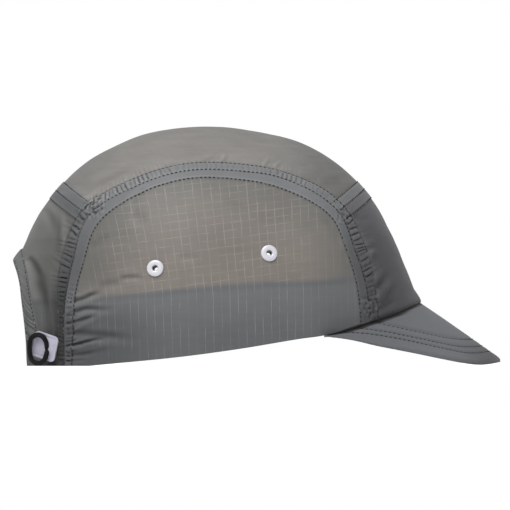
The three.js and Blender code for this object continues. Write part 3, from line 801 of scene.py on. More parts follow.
class Shader:
    """Node tree of one material, with a Principled shader at its end."""

    def __init__(self, name: str) -> None:
        """Makes an empty material of a name."""
        self.material = bpy.data.materials.new(name)
        self.material.use_nodes = True
        self.nodes = self.material.node_tree.nodes
        self.links = self.material.node_tree.links
        self.nodes.clear()
        self.output = self.nodes.new("ShaderNodeOutputMaterial")
        self.surface = self.nodes.new("ShaderNodeBsdfPrincipled")
        self.links.new(self.surface.outputs["BSDF"], self.output.inputs["Surface"])

    def node(self, kind: str, settings: dict, inputs: dict) -> bpy.types.Node:
        """Adds a node.

        Args:
            kind: The node's type.
            settings: Its own settings, set first.
            inputs: A value or a signal for each of its sockets, by name or number.

        Returns:
            The node.
        """
        made = self.nodes.new(kind)
        for name, value in settings.items():
            setattr(made, name, value)
        for name, value in inputs.items():
            self.feed(made.inputs[name], value)
        return made

    def feed(self, socket: bpy.types.NodeSocket, value: Signal | float | tuple) -> None:
        """Links a signal to a socket, or sets its value."""
        if isinstance(value, Signal):
            self.links.new(value.socket, socket)
        elif isinstance(value, tuple):
            socket.default_value = value[: len(socket.default_value)]
        else:
            socket.default_value = value

    def signal(self, kind: str, settings: dict, inputs: dict, output: int | str = 0) -> Signal:
        """Adds a node and gives one of its outputs."""
        return Signal(self, self.node(kind, settings, inputs).outputs[output])

    def place(self) -> Signal:
        """Object coordinates, in metres."""
        return self.signal("ShaderNodeTexCoord", {}, {}, "Object")

    def map(self, name: str) -> tuple[Signal, Signal]:
        """The two directions of a UV map, which holds millimetres."""
        uv = self.signal("ShaderNodeUVMap", {"uv_map": name}, {})
        split = self.node("ShaderNodeSeparateXYZ", {}, {0: uv})
        return Signal(self, split.outputs[0]), Signal(self, split.outputs[1])

    def mark(self, name: str) -> Signal:
        """A number that the mesh carries at its points."""
        return self.signal("ShaderNodeAttribute", {"attribute_name": name}, {}, "Fac")

    def cloudy(self, size: float, detail: float = 2.0, stretch: tuple = (1, 1, 1)) -> Signal:
        """Smooth random unevenness from 0 to 1.

        Args:
            size: Size of the lumps in millimetres.
            detail: How many finer layers it has.
            stretch: How much longer the lumps are along x, y and z.

        Returns:
            The unevenness.
        """
        mapping = {"Vector": self.place(), "Scale": tuple(1 / value for value in stretch)}
        vector = self.signal("ShaderNodeMapping", {}, mapping)
        inputs = {"Vector": vector, "Scale": 1000 / size, "Detail": detail, "Roughness": 0.5}
        return self.signal("ShaderNodeTexNoise", {}, inputs, "Fac")

    def weave(self, across: Signal, along: Signal, rate: float) -> Signal:
        """The ups and downs of crossing threads, from 0 to 1, at a rate in radians to a millimetre."""
        return (across * rate).math("SINE") * (along * rate).math("SINE") * 0.5 + 0.5

    def mix(self, share: Signal | float, first: Signal | tuple, second: Signal | tuple) -> Signal:
        """Mixes two colours by a share of the second."""
        settings = {"data_type": "RGBA", "blend_type": "MIX", "clamp_factor": True}
        return self.signal("ShaderNodeMix", settings, {0: share, 6: first, 7: second}, 2)

    def scaled(self, colour: Signal | tuple, factor: Signal) -> Signal:
        """Makes a colour lighter or darker by a factor."""
        return self.signal("ShaderNodeVectorMath", {"operation": "SCALE"}, {0: colour, "Scale": factor})

    def relief(self, height: Signal, depth: float) -> None:
        """Gives the surface a fine relief: a height from 0 to 1 of a depth in millimetres."""
        inputs = {"Strength": 1.0, "Distance": depth * MM, "Height": height}
        self.feed(self.surface.inputs["Normal"], self.signal("ShaderNodeBump", {}, inputs, "Normal"))

    def finish(self, **inputs: Signal | float | tuple) -> bpy.types.Material:
        """Feeds the Principled shader's sockets, named with underscores, and gives the material."""
        for name, value in inputs.items():
            self.feed(self.surface.inputs[name.replace("_", " ").title().replace("Ior", "IOR")], value)
        return self.material


@dataclass(frozen=True)
class Ripstop:
    """Thin nylon with a grid of thicker threads; its lit mark paints light into it, between a dim and a
    lit tone.
    """

    name: str
    lit_tone: tuple
    dim_tone: tuple
    backed_tone: tuple
    taped_tone: tuple
    line_tone: tuple
    backed_line_tone: tuple = linear(186, 189, 193)
    upright_lines: float = 0.38
    level_lines: float = 0.32
    backed_level_lines: float = 0.05
    pitch: float = 4.6
    wobble: float = 0.9
    line_width: tuple[float, float] = (0.08, 0.24)
    streak_share: float = 0.14
    roughness: float = 0.55
    thread_rate: float = 14.0

    def _lines(self, shader: Shader, across: Signal, along: Signal, backed: Signal) -> Signal:
        """Where the thicker threads show: the upright ones all over, the level ones in places."""
        patchy = shader.cloudy(12, 3).step(0.34, 0.6)
        astray = (shader.cloudy(7, 2) - 0.5) * self.wobble
        split = shader.cloudy(5, 2, (1, 1, 2)).step(0.36, 0.54) * 0.75 + 0.25
        upright = 1 - (across + astray).from_line(self.pitch).step(*self.line_width)
        level_share = self.level_lines - backed * (self.level_lines - self.backed_level_lines)
        broken = shader.cloudy(4.4, 2, (1.8, 1.8, 1)).step(0.4, 0.54) * 0.85 + 0.15
        level = (1 - (along + astray).from_line(self.pitch).step(*self.line_width)) * broken
        level = level * level_share * shader.mark("level")
        return (upright * split * self.upright_lines).math("MAXIMUM", level) * (patchy * 0.6 + 0.4)

    def make(self) -> bpy.types.Material:
        """Builds the material."""
        shader = Shader(self.name)
        across, along = shader.map("cloth")
        backed, taped = shader.mark("backed"), shader.mark("taped")
        lines = self._lines(shader, across, along, backed) * (1 - taped * 0.92) * shader.mark("lines")
        # Painted light: the lit mark mixes the dim tone towards the lit one.
        base = shader.mix(shader.mark("lit"), self.dim_tone, self.lit_tone)
        base = shader.mix(backed, base, self.backed_tone)
        base = shader.mix(taped, base, self.taped_tone)
        base = shader.mix(lines, base, shader.mix(backed, self.line_tone, self.backed_line_tone))
        streaks = shader.cloudy(2.2, 2, (9, 9, 1))
        broad = shader.cloudy(34, 2)
        shade = broad * 0.14 + streaks * self.streak_share + (0.93 - self.streak_share / 2)
        weave = shader.weave(across, along, self.thread_rate)
        shader.relief(weave * 0.25 + lines * 0.8 + streaks * 0.5, 0.06)
        return shader.finish(
            base_color=shader.scaled(base, shade * shader.mark("shade")),
            roughness=(broad * 0.1 + (self.roughness - 0.05)),
            sheen_weight=0.08,
            sheen_roughness=0.4,
            specular_ior_level=0.3,
        )


@dataclass(frozen=True)
class PlainCloth:
    """Plain woven or knitted cloth of one tone, with its threads and a little unevenness."""

    name: str
    tone: tuple
    thread: float = 0.45
    roughness: float = 0.65
    depth: float = 0.06

    def make(self) -> bpy.types.Material:
        """Builds the material."""
        shader = Shader(self.name)
        weave = shader.weave(*shader.map("cloth"), 2 * math.pi / self.thread)
        broad = shader.cloudy(30, 2)
        fine = shader.cloudy(1.5, 2)
        shade = (broad * 0.14 + fine * 0.12 + weave * 0.06 + 0.84) * shader.mark("shade")
        shader.relief(weave * 0.6 + fine * 0.4, self.depth)
        return shader.finish(
            base_color=shader.scaled(self.tone, shade),
            roughness=fine * 0.12 + (self.roughness - 0.06),
            sheen_weight=0.1,
            specular_ior_level=0.3,
        )


@dataclass(frozen=True)
class Thread:
    """Twisted sewing thread."""

    name: str
    tone: tuple
    light_tone: tuple
    light_share: float = 0.0

    def make(self) -> bpy.types.Material:
        """Builds the material, with a share of lighter stitches as painted glints."""
        shader = Shader(self.name)
        # Painted glints: a share of the stitches, picked at random, takes the lighter tone where the
        # thread would catch light.
        often = 0.3 * self.light_share
        pick = shader.cloudy(3.2, 0).step(0.68 - often, 0.72 - often)
        strand = shader.cloudy(0.3, 1)
        base = shader.mix(pick * min(1.0, 2 * self.light_share), self.tone, self.light_tone)
        base = shader.scaled(base, strand * 0.5 + 0.75)
        shader.relief(strand, 0.08)
        return shader.finish(base_color=base, roughness=strand * 0.2 + 0.6)


@dataclass(frozen=True)
class Enamel:
    """Smooth white enamel on a pressed metal eyelet, with painted shade that makes it darker in its
    hole.
    """

    name: str
    tone: tuple

    def make(self) -> bpy.types.Material:
        """Builds the material."""
        shader = Shader(self.name)
        spots = shader.cloudy(2.0, 3)
        base = shader.scaled(self.tone, (spots * 0.08 + 0.95) * shader.mark("shade"))
        shader.relief(shader.cloudy(0.8, 2), 0.02)
        constants = {"coat_weight": 0.25, "specular_ior_level": 0.5}
        return shader.finish(base_color=base, roughness=spots * 0.15 + 0.25, **constants)


@dataclass(frozen=True)
class TabFilm:
    """White film with a lavender tint over a woven ribbon."""

    name: str
    tone: tuple
    edge_tone: tuple

    def make(self) -> bpy.types.Material:
        """Builds the material."""
        shader = Shader(self.name)
        weave = shader.weave(*shader.map("cloth"), 12.0)
        cloudy = shader.cloudy(5, 3)
        base = shader.mix(cloudy.step(0.35, 0.75), self.tone, self.edge_tone)
        shader.relief(weave * 0.6 + cloudy * 0.4, 0.06)
        return shader.finish(base_color=base, roughness=cloudy * 0.2 + 0.4, specular_ior_level=0.4)


@dataclass(frozen=True)
class ShockCord:
    """Braided black sleeve of an elastic cord."""

    name: str
    tone: tuple

    def make(self) -> bpy.types.Material:
        """Builds the material, whose braid follows the cord."""
        shader = Shader(self.name)
        round_way, along = shader.map("cloth")
        left = (along * 3.6 + round_way * 3.0).math("SINE")
        right = (along * 3.6 - round_way * 3.0).math("SINE")
        braid = left.math("MAXIMUM", right) * 0.5 + 0.5
        shader.relief(braid, 0.22)
        base = shader.scaled(self.tone, braid * 0.7 + 0.6)
        return shader.finish(base_color=base, roughness=braid * -0.15 + 0.7, specular_ior_level=0.2)


# Meshes and stitches


@dataclass
class Skin:
    """Points and faces of a closed piece, in millimetres, with its maps and marks."""

    points: Array
    faces: list[Array]
    maps: dict[str, Array] = field(default_factory=dict)
    marks: dict[str, Array] = field(default_factory=dict)

    def other_side(self) -> Skin:
        """The same piece on the other side of the cap."""
        return Skin(mirrored(self.points), self.faces, self.maps, self.marks)

    def turn_out(self) -> None:
        """Turns the faces outwards, by the sign of the volume that they hold."""
        volume = 0.0
        for group in self.faces:
            corners = self.points[group]
            for step in range(1, group.shape[1] - 1):
                a, b, c = corners[:, 0], corners[:, step], corners[:, step + 1]
                volume += np.einsum("ij,ij->i", a, np.cross(b, c)).sum()
        if volume < 0:
            self.faces = [group[:, ::-1] for group in self.faces]

    def build(self, name: str, material: bpy.types.Material, sharp: float = 40.0) -> bpy.types.Object:
        """Makes the Blender object.

        Args:
            name: Its name.
            material: Its finish.
            sharp: Edges that turn more than this many degrees stay sharp.

        Returns:
            The object, at the origin.
        """
        self.turn_out()
        mesh = bpy.data.meshes.new(name)
        faces = [face for group in self.faces for face in group.tolist()]
        mesh.from_pydata((self.points * MM).tolist(), [], faces)
        corners = np.empty(len(mesh.loops), int)
        mesh.loops.foreach_get("vertex_index", corners)
        for map_name, values in self.maps.items():
            layer = mesh.uv_layers.new(name=map_name)
            layer.data.foreach_set("uv", values[corners].astype(np.float32).ravel())
        for mark, values in {"shade": np.ones(len(self.points)), **self.marks}.items():
            layer = mesh.attributes.new(mark, "FLOAT", "POINT")
            layer.data.foreach_set("value", values.astype(np.float32).ravel())
        mesh.polygons.foreach_set("use_smooth", np.ones(len(mesh.polygons), bool))
        mesh.set_sharp_from_angle(angle=math.radians(sharp))
        mesh.materials.append(material)
        made = bpy.data.objects.new(name, mesh)
        bpy.context.scene.collection.objects.link(made)
        return made


def wall(outer: Array, inner: Array, maps: dict[str, Array], marks: dict[str, Array]) -> Skin:
    """A closed wall between two grids of points, closed along all four borders.

    Args:
        outer: Grid of the outer face, first direction first.
        inner: Grid of the inner face, of the same size.
        maps: UV maps of the grid.
        marks: Numbers of the grid.

    Returns:
        The closed wall.
    """
    columns, rows = outer.shape[:2]
    count = columns * rows
    index = np.arange(count).reshape(columns, rows)
    cells = [index[:-1, :-1], index[1:, :-1], index[1:, 1:], index[:-1, 1:]]
    quads = np.stack(cells, axis=-1).reshape(-1, 4)
    border = np.concatenate([index[:-1, 0], index[-1, :-1], index[:0:-1, -1], index[0, :0:-1]])
    after = np.roll(border, -1)
    rim = np.stack([after, border, border + count, after + count], axis=-1)
    faces = [quads, quads[:, ::-1] + count, rim]
    twice = {name: np.concatenate([values.reshape(count, -1)] * 2) for name, values in maps.items()}
    both = {name: np.concatenate([values.reshape(count)] * 2) for name, values in marks.items()}
    return Skin(np.concatenate([outer.reshape(-1, 3), inner.reshape(-1, 3)]), faces, twice, both)


def tube(path: Array, radius: Array | float, sides: int, first_side: Array) -> Skin:
    """A round tube along a path, with flat ends and a map of round way and length.

    Args:
        path: Points of its middle line.
        radius: Its radius, or one for each point.
        sides: How many sides its section has.
        first_side: A vector that the section is set out from.

    Returns:
        The closed tube.
    """
    along = unit(np.gradient(path, axis=0))
    side = unit(first_side - (along @ first_side)[:, None] * along)
    up = np.cross(along, side)
    angles = np.arange(sides) * 2 * np.pi / sides
    ring = side[:, None] * np.cos(angles)[None, :, None] + up[:, None] * np.sin(angles)[None, :, None]
    points = (path[:, None] + np.reshape(radius, (-1, 1, 1)) * ring).reshape(-1, 3)
    index = np.arange(len(points)).reshape(len(path), sides)
    turned = np.roll(index, -1, axis=1)
    quads = np.stack([index[:-1], index[1:], turned[1:], turned[:-1]], axis=-1).reshape(-1, 4)
    ends = [index[:1, ::-1], index[-1:]]
    round_way = np.tile(np.sin(angles / 2) * 2 * np.pi, (len(path), 1))
    length = np.repeat(lengths_along(path)[:, None], sides, axis=1)
    maps = {"cloth": np.stack([round_way, length], axis=-1).reshape(-1, 2)}
    return Skin(points, [quads, *ends], maps)


def lathe(profile: Array, segments: int, frame: Array) -> Skin:
    """A ring turned from a closed profile of radius and height, set in a frame.

    Args:
        profile: Rows of radius and height, in order round the section.
        segments: How many steps the turn has.
        frame: A 4 by 4 matrix whose third axis the ring turns about.

    Returns:
        The closed ring.
    """
    angles = np.arange(segments) * 2 * np.pi / segments
    x = np.outer(np.cos(angles), profile[:, 0])
    y = np.outer(np.sin(angles), profile[:, 0])
    z = np.tile(profile[:, 1], (segments, 1))
    local = np.stack([x, y, z], axis=-1).reshape(-1, 3)
    points = local @ frame[:3, :3].T + frame[:3, 3]
    index = np.arange(len(points)).reshape(segments, -1)
    ahead = np.roll(index, -1, axis=0)
    quads = np.stack([index, ahead, np.roll(ahead, -1, axis=1), np.roll(index, -1, axis=1)], axis=-1)
    # Painted shade: the ring is darkened where it lies inside the hole, within 1.75 mm of its axis.
    shade = np.tile(np.where(profile[:, 0] < 1.75, 0.45, 1.0), segments)
    return Skin(points, [quads.reshape(-1, 4)], {"cloth": local[:, :2]}, {"shade": shade})


@dataclass
class StitchRow:
    """One row of stitches: points on the cloth and the cloth's normals there."""

    points: Array
    normals: Array


@dataclass
class Stitching:
    """Rows of stitches of one thread, set along their lines by a node tree."""

    name: str
    pitch: float
    length: float
    width: float
    height: float
    seed: int
    measures = ("Pitch", "Length", "Width", "Height")

    def _tree(self) -> bpy.types.NodeTree:
        """Builds the node tree that puts a stitch at each step of a line."""
        tree = bpy.data.node_groups.new(f"{self.name}_nodes", "GeometryNodeTree")
        kinds = {"Geometry": "Geometry", **{label: "Float" for label in self.measures}}
        for label, kind in {**kinds, "Seed": "Int", "Thread": "Material"}.items():
            tree.interface.new_socket(label, in_out="INPUT", socket_type=f"NodeSocket{kind}")
        tree.interface.new_socket("Geometry", in_out="OUTPUT", socket_type="NodeSocketGeometry")

        def add(kind: str, inputs: dict | None = None, **settings: str) -> bpy.types.bpy_prop_collection:
            """Adds a node, sets it, feeds its inputs with values or sockets and gives its outputs."""
            made = tree.nodes.new(kind)
            for label, value in settings.items():
                setattr(made, label, value)
            for label, value in (inputs or {}).items():
                if isinstance(value, bpy.types.NodeSocket):
                    tree.links.new(value, made.inputs[label])
                else:
                    made.inputs[label].default_value = value
            return made.outputs

        given = add("NodeGroupInput")
        line = add("GeometryNodeMeshToCurve", {"Mesh": given["Geometry"]})
        spacing = {"Curve": line["Curve"], "Length": given["Pitch"]}
        steps = add("GeometryNodeResampleCurve", spacing, mode="LENGTH")
        ball = add("GeometryNodeMeshUVSphere", {"Segments": 6, "Rings": 5, "Radius": 0.5})
        lengths = {"X": given["Length"], "Y": given["Width"], "Z": given["Height"]}
        size = add("ShaderNodeCombineXYZ", lengths)
        stitch = add("GeometryNodeTransform", {"Geometry": ball["Mesh"], "Scale": size["Vector"]})
        normal = add("GeometryNodeInputNamedAttribute", {"Name": NORMAL_MARK}, data_type="FLOAT_VECTOR")
        tangent = add("GeometryNodeInputTangent")
        along = add("FunctionNodeAlignRotationToVector", {"Vector": tangent["Tangent"]}, axis="X")
        turn = {"Rotation": along["Rotation"], "Vector": normal["Attribute"]}
        upright = add("FunctionNodeAlignRotationToVector", turn, axis="Z", pivot_axis="X")
        limits = {"Min": (0.82, 0.85, 0.8), "Max": (1.1, 1.15, 1.2), "Seed": given["Seed"]}
        vary = add("FunctionNodeRandomValue", limits, data_type="FLOAT_VECTOR")
        places = {"Points": steps["Curve"], "Instance": stitch["Geometry"]}
        places |= {"Rotation": upright["Rotation"], "Scale": vary["Value"]}
        put = add("GeometryNodeInstanceOnPoints", places)
        real = add("GeometryNodeRealizeInstances", {"Geometry": put["Instances"]})
        smooth = add("GeometryNodeSetShadeSmooth", {"Geometry": real["Geometry"]})
        dressing = {"Geometry": smooth["Geometry"], "Material": given["Thread"]}
        dressed = add("GeometryNodeSetMaterial", dressing)
        add("NodeGroupOutput", {"Geometry": dressed["Geometry"]})
        return tree

    def sew(self, rows: Sequence[StitchRow], material: bpy.types.Material) -> bpy.types.Object:
        """Makes the stitches of all rows as one plain mesh.

        Args:
            rows: The rows.
            material: The thread's finish.

        Returns:
            The object, at the origin.
        """
        points = np.concatenate([row.points for row in rows])
        normals = np.concatenate([row.normals for row in rows])
        ends = np.cumsum([len(row.points) for row in rows]) - 1
        edges = [(step, step + 1) for step in range(len(points) - 1) if step not in ends]
        mesh = bpy.data.meshes.new(f"{self.name}_lines")
        mesh.from_pydata((points * MM).tolist(), edges, [])
        layer = mesh.attributes.new(NORMAL_MARK, "FLOAT_VECTOR", "POINT")
        layer.data.foreach_set("vector", normals.astype(np.float32).ravel())
        made = bpy.data.objects.new(self.name, mesh)
        bpy.context.scene.collection.objects.link(made)
        tree = self._tree()
        modifier = made.modifiers.new("Stitches", "NODES")
        modifier.node_group = tree
        values = {label: getattr(self, label.lower()) * MM for label in self.measures}
        values |= {"Seed": self.seed, "Thread": material}
        for item in tree.interface.items_tree:
            if item.in_out == "INPUT" and item.name in values:
                modifier[item.identifier] = values[item.name]
        view = bpy.context.evaluated_depsgraph_get()
        plain = bpy.data.meshes.new_from_object(made.evaluated_get(view))
        made.modifiers.clear()
        made.data = plain
        bpy.data.meshes.remove(mesh)
        plain.name = self.name
        return made


# The pieces of the cap


@dataclass(frozen=True)
class Finishes:
    """All finishes of the cap."""

    ripstop: bpy.types.Material
    top: bpy.types.Material
    back: bpy.types.Material
    hem: bpy.types.Material
    front: bpy.types.Material
    peak: bpy.types.Material
    lining: bpy.types.Material
    seam_thread: bpy.types.Material
    hem_thread: bpy.types.Material
    peak_thread: bpy.types.Material
    enamel: bpy.types.Material
    tab: bpy.types.Material
    binding: bpy.types.Material
    cord: bpy.types.Material

    @classmethod
    def make(cls) -> Finishes:
        """Builds every material once."""
        return cls(
            ripstop=Ripstop(
                "grey_ripstop",
                lit_tone=linear(137, 130, 124),
                dim_tone=linear(122, 120, 116),
                backed_tone=linear(117, 119, 121),
                taped_tone=linear(126, 127, 129),
                line_tone=linear(205, 194, 178),
            ).make(),
            # top_ripstop and shaded_ripstop are copies of the side cloth with other tones, holding
            # painted light and shade for the top and the back.
            top=Ripstop(
                "top_ripstop",
                lit_tone=linear(143, 140, 136),
                dim_tone=linear(117, 116, 114),
                backed_tone=linear(117, 119, 121),
                taped_tone=linear(127, 128, 129),
                line_tone=linear(190, 184, 174),
                streak_share=0.3,
            ).make(),
            back=Ripstop(
                "shaded_ripstop",
                lit_tone=linear(112, 112, 109),
                dim_tone=linear(104, 104, 101),
                backed_tone=linear(96, 97, 97),
                taped_tone=linear(99, 100, 101),
                line_tone=linear(150, 148, 142),
            ).make(),
            hem=PlainCloth("hem_cloth", linear(97, 98, 98)).make(),
            front=PlainCloth("backed_front_cloth", linear(88, 88, 91)).make(),
            peak=PlainCloth("peak_cloth", linear(111, 112, 116), thread=0.5).make(),
            lining=PlainCloth("soft_lining", linear(96, 99, 102), 0.7, 0.8, 0.15).make(),
            seam_thread=Thread("seam_thread", linear(14, 14, 15), linear(150, 150, 152), 0.2).make(),
            hem_thread=Thread("hem_thread", linear(22, 22, 24), linear(190, 190, 194), 0.25).make(),
            peak_thread=Thread("peak_thread", linear(46, 46, 50), linear(150, 150, 154)).make(),
            enamel=Enamel("white_enamel", linear(236, 234, 242)).make(),
            tab=TabFilm("tab_film", linear(206, 203, 218), linear(188, 185, 204)).make(),
            # A near-black strip that stands for the shadow in the peak's joint: painted shadow.
            binding=PlainCloth("joint_binding", linear(6, 6, 7), thread=0.5).make(),
            cord=ShockCord("braided_shock_cord", linear(7, 7, 8)).make(),
        )


def place(made: bpy.types.Object, slot: str, *nodes: str) -> bpy.types.Object:
    """Sets a piece on the cap's body.

    Args:
        made: The piece.
        slot: The name of a material slot; not used.
        nodes: The solids that it stands for.

    Returns:
        The piece.
    """
    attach(made, "root")
    if nodes:
        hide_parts(*nodes)
    triangles = sum(len(face.vertices) - 2 for face in made.data.polygons)
    LOG.info("%s: %d triangles", made.name, triangles)
    return made


def sunk(height: Array, reach: int) -> Array:
    """How deep each place of a grid of heights lies under the mean of the places round it."""
    size = 2 * reach + 1
    padded = np.pad(height, reach, mode="edge")
    (rows, columns), span = height.shape, range(size)
    total = sum(padded[i : i + rows, j : j + columns] for i in span for j in span)
    return total / size**2 - height


def shaded(height: Array) -> Array:
    """How dark a relief makes its hollows and how light its ridges, as a factor for the tone."""
    fine, broad = sunk(height, 2), sunk(height, 5)
    dark = 0.46 * np.clip(fine / 0.3, 0, 1) + 0.28 * np.clip(broad / 0.7, 0, 1)
    light = 0.34 * np.clip(-fine / 0.22, 0, 1) + 0.1 * np.clip(-broad / 0.7, 0, 1)
    return np.clip(1 - dark + light, 0.25, 1.35)


@dataclass
class PanelCloth:
    """What the crown's panels share: the surface, its seams and how the cloth is made up."""

    crown: Crown
    seams: Seams
    thickness: float = 0.6
    band_top: Table = table([-100, -56, 1.6, 40, 90], [36.3, 40.7, 45.6, 47.3, 58])
    band_blur: float = 1.6
    line_share: float = 1.0
    lit_reach: float = 40.0

    def __post_init__(self) -> None:
        """Sets out the edges on the side seam: legs from their feet, the arch from behind."""
        rear, front = self.crown.rear_junction, self.crown.front_junction
        self.leg = self.crown.seam_edge(0, rear)
        self.arch = self.crown.seam_edge(rear, front)
        self.front_leg = self.crown.seam_edge(self.crown.last_knot, front)

    def dress(
        self,
        grid: Array,
        region: Region,
        threads: Array,
        rise: Array | float = 0.0,
        on_rim: Array | None = None,
    ) -> Skin:
        """Gives a panel its relief, wall and marks.

        Args:
            grid: Points of the plain surface.
            region: The part of the crown.
            threads: The map of its threads, in millimetres.
            rise: Further height.
            on_rim: True where a point moves level.

        Returns:
            The panel's closed wall.
        """
        normals = self.crown.normal(grid)
        if on_rim is not None:
            normals = np.where(on_rim[..., None], levelled(normals), normals)
        near = self.seams.near(grid, region)
        height = self.seams.relief(near, region) + rise
        outer = grid + normals * height[..., None]
        inner = outer - normals * self.thickness
        shade = shaded(height)
        taped = self.seams.taped(near)
        # Painted shade: cloth over the tapes is darker lower down, on the legs of the seams.
        shade *= 1 - 0.34 * taped * fade(near.z, 50, 98)
        shade *= self.painted_light_and_shade(near)
        # Painted shade: a soft dark line along the sweatband's top edge, away from the tapes.
        band_edge = self.band_top(near.x) - 1.6
        shade *= 1 - 0.12 * mound(near.z, band_edge, 1.8) * (1 - taped)
        marks = {
            "backed": self.backed(grid),
            "taped": taped,
            "shade": shade,
            "lines": self.line_share * self.lined(near),
            "level": smoothstep(near.x, -92, -72) * fade(near.x, 22, 46),
            "lit": self.lit(near),
        }
        return wall(outer, inner, {"cloth": threads}, marks)

    def painted_light_and_shade(self, near: Near) -> Array:
        """Painted light and shade: a slow change of tone over the panel, as a factor."""
        return np.ones(near.x.shape)

    def lined(self, near: Near) -> Array:
        """How clearly the grid of threads shows."""
        return np.ones(near.x.shape)

    def lit(self, near: Near) -> Array:
        """Painted light: how much lighter the cloth is painted, rising with distance from the seams."""
        return smoothstep(near.side, 4, self.lit_reach)

    def backed(self, points: Array) -> Array:
        """Which cloth the sweatband backs: 1 in front of it, 0 above it."""
        top = self.band_top(points[..., 0])
        return fade(points[..., 2] - top, -self.band_blur, self.band_blur)


@dataclass
class SidePanels(PanelCloth):
    """The two D-shaped side panels, pierced for their eyelets."""

    cells: tuple[int, int] = (250, 124)
    thread_lean: tuple[float, float, float] = (14.0, 7.0, 1.0)
    thread_rise: float = 8.0
    hole: float = 2.3

    def painted_light_and_shade(self, near: Near) -> Array:
        """Painted light and shade: darker low down at the rear and along the rim, lighter high up in
        front.
        """
        low = fade(near.z, 12, 44) * (0.2 + 0.26 * fade(near.x, -88, -40))
        low = low + 0.1 * mound(near.z, 26, 7) * fade(near.x, -80, -50)
        rear = 0.2 * fade(near.x, -95, -45) * smoothstep(near.z, 30, 50)
        high = 0.08 * (smoothstep(near.x, -10, 30) - mound(near.x, -26, 28))
        high = high * smoothstep(near.z, 50, 70)
        tape = 0.08 * fade(near.x, -88, -70) - 0.2 * smoothstep(near.x, 40, 52)
        tape = tape * fade(near.side, 5.4, 6.6)
        front = 0.06 * smoothstep(near.x, 22, 50)
        return (1 - low) * (1 - rear) * (1 - front) * (1 + high) * (1 + tape)

    def lined(self, near: Near) -> Array:
        """How clearly the grid of threads shows: little at the rear edge and in front."""
        return smoothstep(near.x, -100, -84) * (1 - 0.6 * smoothstep(near.x, 18, 44))

    def _grid(self) -> Array:
        """Points of the right panel."""
        across, along = spread(self.cells[0], 0.45), spread(self.cells[1], 0.35)
        knots = (0.0, self.crown.last_knot)
        rear, front = (self.crown.bearing(self.crown.seam(np.array([knot]))[0]) for knot in knots)

        def rim(share: Array) -> Array:
            """Rim edge from the rear foot to the front one."""
            return self.crown.rim_points(rear + (front - rear) * share)

        grid = self.crown.patch(rim, self.arch, self.leg, self.front_leg, across, along)
        grid[:, 0] = rim(across)
        return grid

    def _threads(self, grid: Array) -> Array:
        """Map of the threads, measured over the curved cloth."""
        x, z = grid[..., 0], grid[..., 2]
        row_x = np.linspace(-112, 70, 92)
        row = lengths_along(self.crown.side(row_x, np.full_like(row_x, 50.0)))
        column_z = np.linspace(-4, 110, 58)
        column = lengths_along(self.crown.side(np.full_like(column_z, -22.0), column_z))
        lean = np.interp(x, [-100, -40, 40], np.tan(np.radians(self.thread_lean)))
        above = z - 40
        u = np.interp(x, row_x, row) + lean * np.where(above > 0, above, 0.2 * above)
        v = np.interp(z, column_z, column) - math.tan(math.radians(self.thread_rise)) * (x + 22)
        return np.stack([u, v], axis=-1)

    def build(self, finishes: Finishes) -> None:
        """Builds both panels."""
        grid = self._grid()
        on_rim = np.zeros(grid.shape[:2], bool)
        on_rim[:, 0] = True
        skin = self.dress(grid, Region.SIDE, self._threads(grid), on_rim=on_rim)
        centres = self.crown.side(*np.array(list(EYELET_PLACES.values())).T)
        skin = pierced(skin, grid.shape[:2], centres, self.hole)
        place(skin.build("side_cloth_right", finishes.ripstop), "ripstop", "side_panel_right")
        other = skin.other_side()
        place(other.build("side_cloth_left", finishes.ripstop), "ripstop", "side_panel_left")


def pierced(skin: Skin, size: tuple[int, int], centres: Array, radius: float) -> Skin:
    """Opens round holes in a wall made from two grids.

    Args:
        skin: The wall, as made by wall().
        size: Points of its grids in both directions.
        centres: Middle of each hole on the outer face.
        radius: Radius of the holes.

    Returns:
        The wall with the holes, closed round their edges.
    """
    columns, rows = size
    count = columns * rows
    index = np.arange(count).reshape(columns, rows)
    outer = skin.points[:count].reshape(columns, rows, 3)
    middle = (outer[:-1, :-1] + outer[1:, 1:]) / 2
    gone = np.zeros(middle.shape[:2], bool)
    for centre in centres:
        gone |= np.linalg.norm(middle - centre, axis=-1) < radius
    edges = []
    for i, j in np.argwhere(gone):
        corners = index[i, j], index[i + 1, j], index[i + 1, j + 1], index[i, j + 1]
        beside = gone[i, j - 1], gone[i + 1, j], gone[i, j + 1], gone[i - 1, j]
        for number, open_side in enumerate(beside):
            a, b = corners[number], corners[(number + 1) % 4]
            if not open_side:
                edges.append((a, b, b + count, a + count))
    keep = ~gone.ravel()
    faces = [skin.faces[0][keep], skin.faces[1][keep], skin.faces[2], np.array(edges)]
    return Skin(skin.points, faces, skin.maps, skin.marks)


@dataclass
class TopPanel(PanelCloth):
    """The long panel over the crown, between the side panels."""

    cells: tuple[int, int] = (150, 290)
    line_share: float = 0.25

    def painted_light_and_shade(self, near: Near) -> Array:
        """Painted shade: darker over the rear cross tape."""
        return 1 - 0.22 * fade(near.cross, 5.4, 6.6) * fade(near.x, -80, -60)

    def lit(self, near: Near) -> Array:
        """Painted light: how much lighter the cloth is painted; less in front, and near the middle line
        behind.
        """
        behind = 0.5 * fade(near.x, -96, -70) * smoothstep(near.side, 8, 34)
        return (1 - behind) * (1 - 0.9 * smoothstep(near.x, 4, 46))

    def build(self, finishes: Finishes) -> None:
        """Builds the panel."""
        across, along = spread(self.cells[0], 0.45), spread(self.cells[1], 0.35)
        crown = self.crown
        grid = crown.patch(
            crown.cross_edge(crown.rear_junction),
            crown.cross_edge(crown.front_junction),
            self.arch,
            lambda share: mirrored(self.arch(share)),
            across,
            along,
        )
        skin = self.dress(grid, Region.TOP, threads_over(grid))
        place(skin.build("top_cloth", finishes.top), "ripstop", "top_panel")


